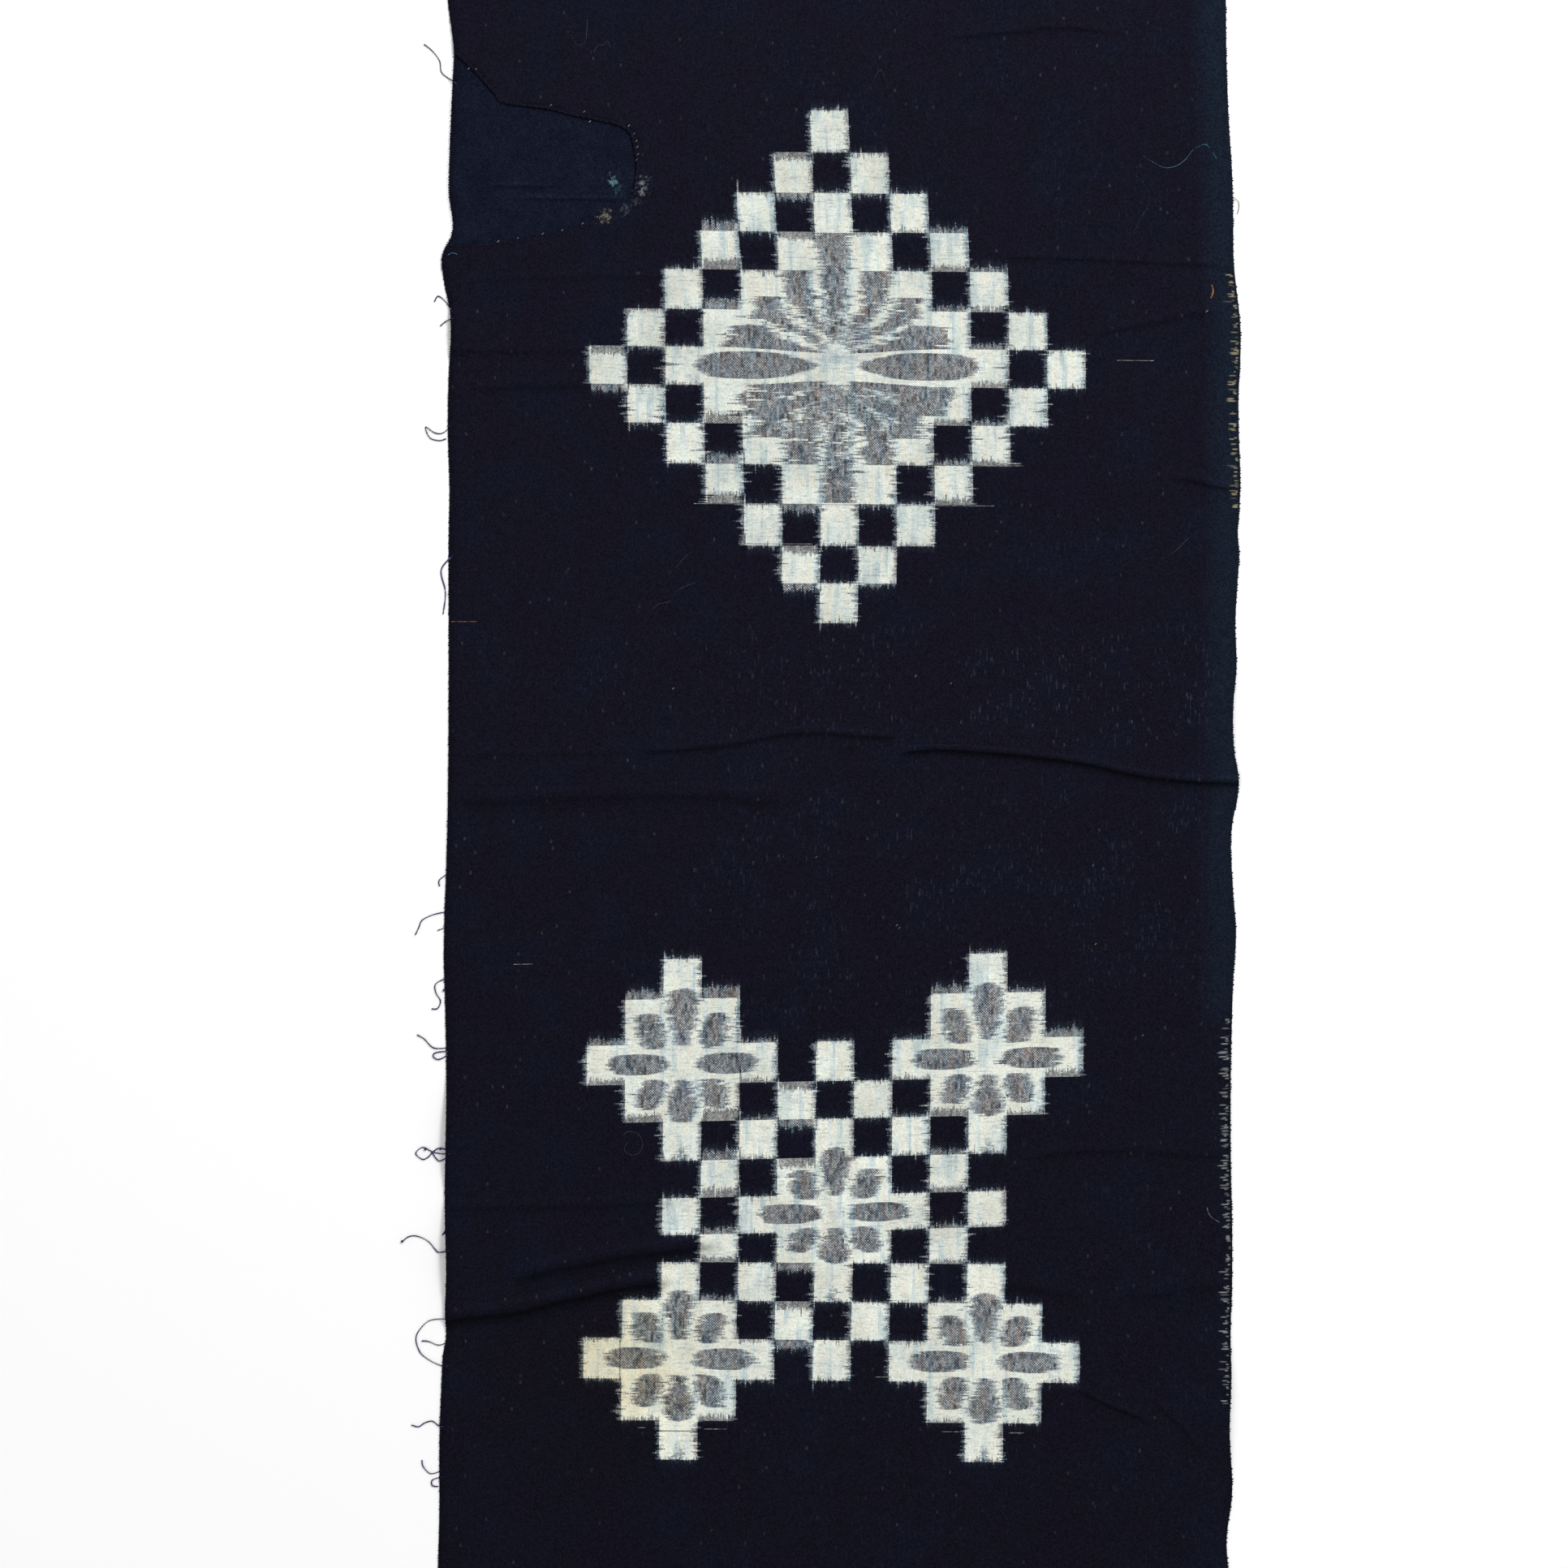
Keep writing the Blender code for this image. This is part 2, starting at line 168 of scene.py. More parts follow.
clothPlan = {
    "length": 728.0,
    "thickness": 0.42,
    "floorGap": 0.05,
    "columnStep": 4.6,
    "rowStep": 4.4,
    # left edge and right edge, (y, x)
    "leftEdge": [
        (-364, -165.2), (-337, -164.9), (-316, -164.4), (-278, -164.2), (-254, -163.2), (-246, -162.8),
        (-239, -161.5), (-228, -161.8), (-210, -161.1), (-186, -161.8), (-177, -162.0), (-157, -161.4),
        (-119, -161.4), (-94, -161.9), (-76, -162.4), (-56, -162.1), (-37, -161.4), (-8, -160.7),
        (50, -160.3), (107, -160.3), (127, -160.0), (155, -160.7), (180, -160.1), (194, -159.3),
        (203, -159.6), (217, -162.4), (229, -162.9), (236, -159.3), (255, -160.2), (275, -159.8),
        (303, -158.6), (315, -158.1), (338, -160.7), (364, -161.6)],
    "rightEdge": [
        (-364, 175.4), (-337, 175.7), (-328, 175.1), (-306, 177.5), (-278, 176.3), (-254, 177.1),
        (-239, 176.8), (-215, 177.5), (-191, 177.5), (-162, 176.9), (-138, 176.8), (-124, 176.9),
        (-99, 177.5), (-85, 178.0), (-63, 179.2), (-47, 178.0), (-13, 178.3), (-8, 179.5), (6, 179.9),
        (11, 178.9), (35, 178.0), (50, 179.4), (69, 178.9), (88, 179.9), (101, 180.6), (107, 179.9),
        (117, 180.6), (131, 181.0), (155, 180.3), (169, 180.3), (182, 181.0), (198, 181.0),
        (203, 180.6), (215, 179.2), (224, 178.3), (242, 178.0), (263, 177.5), (285, 176.1),
        (317, 175.0), (338, 174.8), (364, 174.2)],
    # creases from the bottom end to the top end, each a row line of the sheet: line (x, y),
    # spans (from x, to x, height), and the width of the ridge
    "creases": [
        {"line": [(-165, -262), (101, -259), (113, -262), (121, -266), (130, -270), (141, -275), (153, -289),
                  (177, -301)], "spans": [(112, 138, 0.9)], "width": 1.2, "fade": 5.0},
        {"line": [(-165, -243), (101, -248), (136, -261), (147, -269), (153, -274.5), (159, -280.5),
                  (163, -287), (177, -293)], "spans": [(151, 160, 0.6)], "width": 1.9},
        {"line": [(-165, -231.5), (-159, -230.5), (-148, -229), (-134, -227.5), (-122, -225), (-115, -223),
                  (-102, -220.5), (-90, -217.5), (-81, -216), (-70, -214.5), (0, -214.8), (88, -217),
                  (106, -219.5), (134, -220.5), (169, -216), (178, -216)],
         "spans": [(-165, -70, 1.5), (84, 108, 0.35), (134, 168, 0.45)], "width": 2.9},
        {"line": [(-165, -216), (-135, -212.5), (-125, -211.5), (-115, -208.5), (-104, -207), (-89, -203.7),
                  (-77, -202), (-63, -200.5), (-53, -199), (-4, -196), (80, -183), (115, -183), (178, -183)],
         "spans": [(-126, -50, 1.1)], "width": 3.2},
        {"line": [(-165, -183), (-67, -180), (40, -172), (112, -158), (172, -160), (178, -160)],
         "spans": [(-158, -66, 0.4), (94, 170, 0.5)], "width": 2.0},
        {"line": [(-161, -7), (-30, -6), (30, -14), (178, -22)],
         "spans": [(-150, -24, 0.6)], "width": 3.6},
        {"line": [(-161, 2), (-80, 4), (0, 10), (31, 13.2), (47, 15), (70, 14), (92, 12), (114, 9), (137, 4),
                  (159, 1.4), (179, 0.7)], "spans": [(38, 190, 1.8)], "width": 1.6, "fade": 4.0},
        {"line": [(-161, 12.5), (-80, 14), (-49, 16), (-31, 18.5), (-20, 21), (-4, 22.4), (12, 21.4),
        (31, 20.3), (60, 20), (178, 16)],
         "spans": [(-150, -84, 0.3), (-72, 29, 0.9)], "width": 1.5, "fade": 5.0},
        {"line": [(-160, 131), (150, 132.2), (159, 131.6), (168, 129), (181, 127)],
         "spans": [(158, 190, 0.9)], "width": 1.5},
        {"line": [(-160, 171), (-143, 171.2), (-102, 172), (181, 170)],
         "spans": [(-143, -102, 0.5)], "width": 2.2},
        {"line": [(-160, 187), (-102, 187), (0, 189), (112, 193), (119, 194.6), (135, 197.4), (151, 201),
                  (165, 203.5), (181, 206)], "spans": [(-158, -102, 0.4), (124, 166, 0.5)], "width": 1.8},
        {"line": [(-163, 217), (-144, 217.4), (-102, 219), (-70, 219), (0, 222), (79, 227), (166, 224),
                  (179, 223.5)], "spans": [(-144, -70, 0.3), (84, 166, 0.6)], "width": 1.3},
        {"line": [(-160, 322), (59, 322.4), (84, 324.5), (108, 326.5), (122, 324.8), (175, 322)],
         "spans": [(59, 122, 0.6)], "width": 1.4}],
    # rows of the sheet beside a crest
    "rowOffsets": [-5.4, -3.4, -2.1, -1.2, -0.5, 0.0, 0.5, 1.2, 2.1, 3.4, 5.4],
    # short creases that cross the rows
    "crossCreases": [
        {"line": [(87, -298), (87.9, -304), (90, -310), (89.6, -317), (87.5, -324), (84.4, -332), (83, -344)],
         "height": 1.1, "width": 2.0},
        {"line": [(167.5, 278), (175, 270.5)], "height": 0.8, "width": 1.6},
        {"line": [(167.5, 258), (177.5, 253)], "height": 0.8, "width": 1.6},
        {"line": [(-19.5, 7.4), (-9, 10.2), (0.4, 12.2)], "height": 0.5, "width": 1.6}],
    # an edge off the floor: middle y, half length, height, reach into the cloth
    "leftLifts": [(-152, 30, 4.0, 24), (-203, 32, 4.8, 20), (196, 16, 2.2, 16)],
    "rightLifts": [(30, 30, 1.2, 16), (-270, 34, 1.4, 20)],
    "swell": 0.22}       # slow unevenness of the lie

# the mend: a bite in the left edge, its edge turned under and hemmed to a patch behind it
mendPlan = {
    "bite": [
        (-159, 316), (-154, 311.5), (-149.5, 307.5), (-141, 298), (-136.8, 293.6), (-119, 291.2),
        (-107.5, 288.4), (-96, 286), (-88, 284.2), (-82.6, 281), (-80.5, 274), (-79.4, 265.3),
        (-80.8, 255.5), (-83, 251.5), (-88, 247.6), (-95, 244), (-103.6, 240.2), (-113, 237.4),
        (-126, 235), (-140, 233.4), (-152, 232.6), (-160, 232.6)],
    "outerLeft": -200.0,       # well outside the left edge
    "middle": (-120.0, 262.0),
    "patchThickness": 0.40,
    "patchMargin": 7.0,
    "turnUnder": 3.2,
    "lipReach": 0.6,           # the rounded lip starts this far from the bite
    "ridges": [[(-145, 258.0), (-112, 258.6)], [(-130, 253.2), (-81, 252.2)], [(-158, 281), (-143, 284)]],
    "yarnPitch": 0.48,         # of the patch, which is a finer cloth
    "indigoStops": [(0.35, "0f1220"), (0.65, "131726")],
    # the folds are painted light and shade on the patch
    "folds": [(-133.5, 17.0, -257.0), (-110.5, 26.0, -251.6)],     # on the patch: across, half length, down
    # worn spots beside the seam: place, reach, strength and colour
    "wornSpots": [((-89.4, 260.2, 0.7), 3.2, 0.6, "6f9aa0"), ((-87.4, 256.4, 0.7), 3.4, 0.5, "3d6472"),
                  ((-76.6, 259.2, 1.0), 3.8, 0.55, "7c858c"), ((-77.0, 255.6, 1.0), 3.2, 0.7, "8d9296"),
                  ((-79.6, 251.0, 1.0), 3.0, 0.4, "5c6672"), ((-84.0, 247.6, 1.0), 3.4, 0.4, "5c6672"),
                  ((-92.8, 244.4, 1.0), 4.2, 0.7, "7f7c6a")]}

leftAt = smoothTable(clothPlan["leftEdge"])
rightAt = smoothTable(clothPlan["rightEdge"])
for crease in clothPlan["creases"]:
    crease["at"] = smoothTable(crease["line"])
biteRoute = smoothRoute(mendPlan["bite"], 4)
biteLine = [tuple(p) for p in biteRoute]


def openedOutline(line):
    # a line round the bite, closed well outside the left edge
    outer = mendPlan["outerLeft"]
    return [(outer, line[0][1])] + list(line) + [(outer, line[-1][1])]


def offsetLine(route, away):
    # a line at one distance from the bite's, on the cloth's side
    along = np.gradient(route, axis=0)
    along /= np.linalg.norm(along, axis=1)[:, None]
    return route + away * np.stack([-along[:, 1], along[:, 0]], axis=1)


def biteDistance(x, y):
    # how far a point lies outside the bite, negative inside it
    distance = polylineDistance(x, y, biteLine)
    return np.where(insideOutline(x, y, openedOutline(biteLine)), -distance, distance)


def creaseShare(crease, x):
    # the crest's height along the crease
    fade = crease.get("fade", 9.0)
    return np.max([top * smoothStep(start - fade, start + 2, x) * smoothStep(end + fade, end - 2, x)
                   for start, end, top in crease["spans"]], axis=0)


def creaseHeight(x, y):
    total = np.zeros(np.shape(x))
    for crease in clothPlan["creases"]:
        away = y - crease["at"](x)
        wide = crease["width"] * np.where(away > 0, 1.5, 0.7)    # steeper on the lower side
        ridge = 0.74 * np.exp(-(np.abs(away) / wide) ** 1.4) + 0.26 * np.exp(-(away / (3.4 * wide)) ** 2)
        total = total + creaseShare(crease, x) * ridge
    for crease in clothPlan["crossCreases"]:
        away = polylineDistance(x, y, crease["line"])
        total = total + crease["height"] * np.exp(-(away / crease["width"]) ** 1.6)
    return total


def edgeLift(x, y):
    total = np.zeros(np.shape(x))
    for lifts, inward in ((clothPlan["leftLifts"], x - leftAt(y)), (clothPlan["rightLifts"], rightAt(y) - x)):
        for middle, half, top, reach in lifts:
            along = smoothStep(half, 0.0, np.abs(y - middle))
            total = np.maximum(total, top * along * smoothStep(reach, -2.0, inward))
    return total


def slowSwell(x, y):
    # a few long waves, so that the lie is nowhere quite flat
    waves = (np.sin(x / 31 + y / 47 + 0.6) + np.sin(x / 19 - y / 58 + 2.1) + np.sin(x / 53 + y / 23 + 4.0)
             + 0.6 * np.sin(x / 11 + y / 17))
    return clothPlan["swell"] * np.clip(0.45 + 0.4 * waves, 0.0, None)


def clothUnder(x, y):
    # the height of the cloth's underside above the floor
    away = biteDistance(x, y)
    patchTop = mendPlan["patchThickness"] + 0.06
    overPatch = patchTop * smoothStep(17.0, mendPlan["patchMargin"] + 1.0, away)
    overTurn = clothPlan["thickness"] * smoothStep(mendPlan["turnUnder"] + 2.6, mendPlan["turnUnder"], away)
    lie = creaseHeight(x, y) + edgeLift(x, y) + slowSwell(x, y)
    return clothPlan["floorGap"] + overPatch + overTurn + lie * smoothStep(-4, 20, away)


def clothTop(x, y):
    return clothUnder(x, y) + clothPlan["thickness"]


# the chart of the figures: where the middle warp runs, how the weft tilts, and where rows begin

chartPlan = {
    "column": 16.47,            # one checker's width
    # the middle warp, (y, x)
    "middleWarp": [
        (364, 3.6), (282, 4.0), (265, 4.9), (248, 5.3), (231, 6.3), (214, 6.9), (163, 7.4), (112, 8.3),
        (78, 7.9), (0, 7.2), (-83, 6.5), (-186, 5.9), (-214, 5.6), (-232, 5.0), (-260, 4.7), (-364, 4.2)],
    # the weft's tilt, (y, rise over run)
    "weftTilt": [
        (364, -0.004), (250, -0.010), (120, -0.008), (60, 0.0), (-40, 0.012), (-75, 0.0186), (-145, 0.020),
        (-163, 0.024), (-180, 0.022), (-193, 0.026), (-206, -0.006), (-222, -0.010), (-282, -0.008),
        (-364, -0.004)],
    # where the rows of the upper and of the lower figure begin, from the top
    "upperRows": [290.5, 272.3, 254.8, 238.0, 221.4, 204.1, 188.0, 171.5, 155.1, 137.6, 120.8, 102.6,
                  86.5, 69.3],
    "lowerRows": [-74.2, -91.2, -111.0, -128.1, -144.2, -161.0, -177.1, -192.9, -206.5, -223.3, -239.8,
                  -257.3,
                  -275.1, -291.9],
    "firstRow": -6.5,
    "lowerFigureRow": 22.0,     # the lower figure's middle row, counted from the upper one's
    "endRows": (-11.3, 33.1)}   # the rows that the two ends of the cloth reach

middleWarpAt = smoothTable(chartPlan["middleWarp"])
weftTiltAt = smoothTable(chartPlan["weftTilt"])


def weaveFlat(x, y):
    # the yarns' own coordinates: across from the middle warp, and down the cloth
    return x - middleWarpAt(y), -(y - weftTiltAt(y) * (x - middleWarpAt(y)))


def chartPlace(x, y):
    # columns and rows of the figures, counted from the upper figure's middle
    across, down = weaveFlat(x, y)
    first, lower = chartPlan["firstRow"], chartPlan["firstRow"] + chartPlan["lowerFigureRow"]
    marks = [(-y0, first + k) for k, y0 in enumerate(chartPlan["upperRows"])]
    marks += [(-y0, lower + k) for k, y0 in enumerate(chartPlan["lowerRows"])]
    start, end = chartPlan["endRows"]
    downs, rows = zip(*([(-370, start)] + marks + [(370, end)]))
    return across / chartPlan["column"], np.interp(down, downs, rows)


def weaveLayers(x, y):
    # both maps of the weave for the material
    return {"yarns": np.stack(weaveFlat(x, y), axis=1), "figures": np.stack(chartPlace(x, y), axis=1)}


# meshes

def meshObject(name, vertices, faces, material=None, layers=None, attributes=None, smooth=True):
    mesh = bpy.data.meshes.new(name)
    mesh.from_pydata([tuple(v) for v in vertices], [], [tuple(int(i) for i in f) for f in faces])
    corners = np.zeros(len(mesh.loops), np.int32)
    mesh.loops.foreach_get("vertex_index", corners)
    for layerName, values in (layers or {}).items():
        layer = mesh.uv_layers.new(name=layerName)
        layer.data.foreach_set("uv", np.asarray(values, np.float32)[corners].ravel())
    for attributeName, values in (attributes or {}).items():
        layer = mesh.attributes.new(attributeName, "FLOAT", "POINT")
        layer.data.foreach_set("value", np.asarray(values, np.float32))
    if smooth:
        mesh.shade_smooth()
    if material:
        mesh.materials.append(material)
    piece = bpy.data.objects.new(name, mesh)
    bpy.context.scene.collection.objects.link(piece)
    return piece


def turnOutward(piece):
    builder = bmesh.new()
    builder.from_mesh(piece.data)
    bmesh.ops.recalc_face_normals(builder, faces=builder.faces)
    builder.to_mesh(piece.data)
    builder.free()


def gridFaces(rowCount, columnCount, wrap=False):
    # faces between rows of points, joined round where wrap is true
    last = columnCount if wrap else columnCount - 1
    r, c = np.meshgrid(np.arange(rowCount - 1), np.arange(last), indexing="ij")
    a, b = (r * columnCount + c).ravel(), (r * columnCount + (c + 1) % columnCount).ravel()
    return np.stack([a, b, b + columnCount, a + columnCount], axis=1)


def bakeModifiers(piece, helpers=()):
    # the evaluated object as a plain mesh, its modifiers and helpers gone
    graph = bpy.context.evaluated_depsgraph_get()
    plain = bpy.data.meshes.new_from_object(piece.evaluated_get(graph))
    name = piece.name
    for spare in (piece, *helpers):
        bpy.data.objects.remove(spare, do_unlink=True)
    plain.name = name
    result = bpy.data.objects.new(name, plain)
    bpy.context.scene.collection.objects.link(result)
    return result


def clothGrid():
    # rows follow the creases, closely beside a crest and widely between
    half = clothPlan["length"] / 2
    offsets = np.array(clothPlan["rowOffsets"])
    step = clothPlan["columnStep"]
    # closer columns at the cross crease
    nominalX = np.concatenate([np.arange(-160, 78, step), np.arange(78, 98, 1.5), np.arange(98, 176, step),
                               [178.0]])
    crests = [c["at"](nominalX) for c in clothPlan["creases"]]
    crests = [np.full(len(nominalX), -half)] + crests + [np.full(len(nominalX), half)]
    room = [np.minimum(1.0, 0.44 * (b - a) / offsets[-1]) for a, b in zip(crests, crests[1:])]
    lines = [crests[0]]
    for index in range(1, len(crests)):
        crest = crests[index]
        isEnd = index == len(crests) - 1
        foot = crest if isEnd else crest + offsets[0] * room[index - 1]
        start = lines[-1]
        count = max(int(np.max(foot - start) / clothPlan["rowStep"]), 1)
        lines += [start + (foot - start) * k / count for k in range(1, count)]
        if isEnd:
            lines.append(crest)
        else:
            lines += [crest + o * (room[index - 1] if o < 0 else room[index]) for o in offsets]
    y = np.array(lines)
    left, right = leftAt(y), rightAt(y)
    share = ((nominalX + 160) / 338)[None, :]
    return left + share * (right - left), y


def creaseMarks(x, y):
    # how far a point lies from the nearest crest, and how strong that crease is
    away = np.full(np.shape(x), 20.0)
    strength = np.zeros(np.shape(x))
    for crease in clothPlan["creases"]:
        here = (y - crease["at"](x)) * 1.6 / crease["width"]
        nearer = np.abs(here) < np.abs(away)
        away = np.where(nearer, here, away)
        reach = smoothStep(5.6, 3.0, np.abs(here))
        strength = np.where(nearer, creaseShare(crease, x) * reach, strength)
    return away, strength


def makeClothSheet(material):
    x, y = clothGrid()
    rowCount, columnCount = x.shape
    x, y = x.ravel(), y.ravel()
    under = clothUnder(x, y)
    top = np.stack([x, y, under + clothPlan["thickness"]], axis=1) * mm
    bottom = np.stack([x, y, under], axis=1) * mm
    upper = gridFaces(rowCount, columnCount)
    lower = upper[:, ::-1] + len(x)
    last, end = columnCount - 1, rowCount - 1
    rim = np.array([*range(last)] + [r * columnCount + last for r in range(end)]
                   + [end * columnCount + c for c in range(last, 0, -1)]
                   + [r * columnCount for r in range(end, 0, -1)])
    nextRim = np.roll(rim, -1)
    sides = np.stack([rim + len(x), nextRim + len(x), nextRim, rim], axis=1)
    layers = {name: np.vstack([uv, uv]) for name, uv in weaveLayers(x, y).items()}
    # crest distance and crease strength, which place the painted shade of the creases in the material
    away, strength = creaseMarks(x, y)
    marks = {"fromRight": rightAt(y) - x, "crestAway": away, "crestShare": strength}
    marks = {name: np.concatenate([values, values]) for name, values in marks.items()}
    sheet = meshObject("clothSheet", np.vstack([top, bottom]), np.vstack([upper, lower, sides]), material,
                       layers, marks)
    # the bite is cut out a little wider than it is, and the lip fills the difference
    cutLine = openedOutline([tuple(p) for p in offsetLine(biteRoute, mendPlan["lipReach"])])
    count = len(cutLine)
    points = [(px * mm, py * mm, z) for z in (-0.01, 0.02) for px, py in cutLine]
    faces = [[*range(count)][::-1], [*range(count, 2 * count)]]
    faces += [[k, (k + 1) % count, (k + 1) % count + count, k + count] for k in range(count)]
    cutter = meshObject("biteCutter", points, faces)
    turnOutward(cutter)
    cut = sheet.modifiers.new("bite", "BOOLEAN")
    cut.operation = "DIFFERENCE"
    cut.object = cutter
    return bakeModifiers(sheet, [cutter])


def makeMendHem(material):
    # the turned-under edge: a rounded lip over a second ply, (distance from the bite, plies up)
    ply = clothPlan["thickness"]
    section = [(1.3, 2.03), (0.62, 2.01), (0.24, 1.86), (0.03, 1.5), (0.0, 1.0), (0.05, 0.5), (0.25, 0.14),
               (0.6, 0.0), (mendPlan["turnUnder"], 0.0), (mendPlan["turnUnder"], 0.94), (1.3, 0.97)]
    steady = clothUnder(*offsetLine(biteRoute, 1.3).T)
    rings = []
    for away, share in section:
        line = offsetLine(biteRoute, away)
        line[:, 0] = np.maximum(line[:, 0], leftAt(line[:, 1]) + 0.05)
        under = clothUnder(line[:, 0], line[:, 1]) if away > 1.3 else steady
        rings.append(np.column_stack([line, under + (share - 1) * ply]))
    points = np.stack(rings, axis=1)
    rowCount, columnCount = points.shape[:2]
    flat = points.reshape(-1, 3)
    faces = [*gridFaces(rowCount, columnCount, wrap=True), list(range(columnCount))[::-1],
             [(rowCount - 1) * columnCount + k for k in range(columnCount)]]
    marks = {name: np.full(len(flat), value)
             for name, value in (("fromRight", 300.0), ("crestAway", 20.0), ("crestShare", 0.0))}
    hem = meshObject("mendHem", flat * mm, faces, material, weaveLayers(flat[:, 0], flat[:, 1]), marks)
    turnOutward(hem)
    return hem


def makeMendPatch(material):
    # rings from the hidden margin to the middle, closer together beside the bite's edge
    plan = mendPlan
    around = [tuple(p) for p in offsetLine(biteRoute, plan["patchMargin"])[3:-3]]
    top, bottom = around[0][1], around[-1][1]
    around = [(px, py) for px, py in around
              if px > leftAt(py) + 1.5 and biteDistance(px, py) > 0.97 * plan["patchMargin"]]
    side = [bottom, *np.arange(bottom + 1.5, top - 1.0, 3.0), top]
    around += [(float(leftAt(v)), float(v)) for v in side]
    outline = np.array(around)
    middle = np.array(plan["middle"])
    inward = [0.0, 0.10, 0.128, 0.142, 0.158, 0.18, 0.22, 0.28, 0.36, 0.46, 0.56, 0.66, 0.76, 0.86, 0.94]
    count = len(outline)
    flat = np.vstack([outline + (middle - outline) * f for f in inward] + [middle[None]])
    x, y = flat[:, 0], flat[:, 1]
    ridges = sum(0.3 * np.exp(-(polylineDistance(x, y, line) / 1.1) ** 2) for line in plan["ridges"])
    base = np.full(len(x), clothPlan["floorGap"])
    inner = smoothStep(0.5, 6.0, -biteDistance(x, y))
    height = base + plan["patchThickness"] + (ridges + 0.10 * (1 + np.sin(x / 9 + y / 13))) * inner
    upper = [*gridFaces(len(inward), count, wrap=True)]
    innermost = (len(inward) - 1) * count
    upper += [[innermost + k, innermost + (k + 1) % count, len(flat) - 1] for k in range(count)]
    lower = [[i + len(flat) for i in face[::-1]] for face in upper]
    sides = [[k, k + len(flat), (k + 1) % count + len(flat), (k + 1) % count] for k in range(count)]
    points = np.vstack([np.column_stack([flat, height]), np.column_stack([flat, base])])
    layers = {name: np.vstack([uv, uv]) for name, uv in weaveLayers(x, y).items()}
    # lipAway places the painted shadow of the lip on the patch, pushed off the lower side, which faces the
    # light
    marks = {"lipAway": np.tile(-biteDistance(x, y) + 3.0 * smoothStep(262.0, 240.0, y), 2)}
    patch = meshObject("mendPatch", points * mm, upper + lower + sides, material, layers, marks)
    turnOutward(patch)
    return patch


# materials

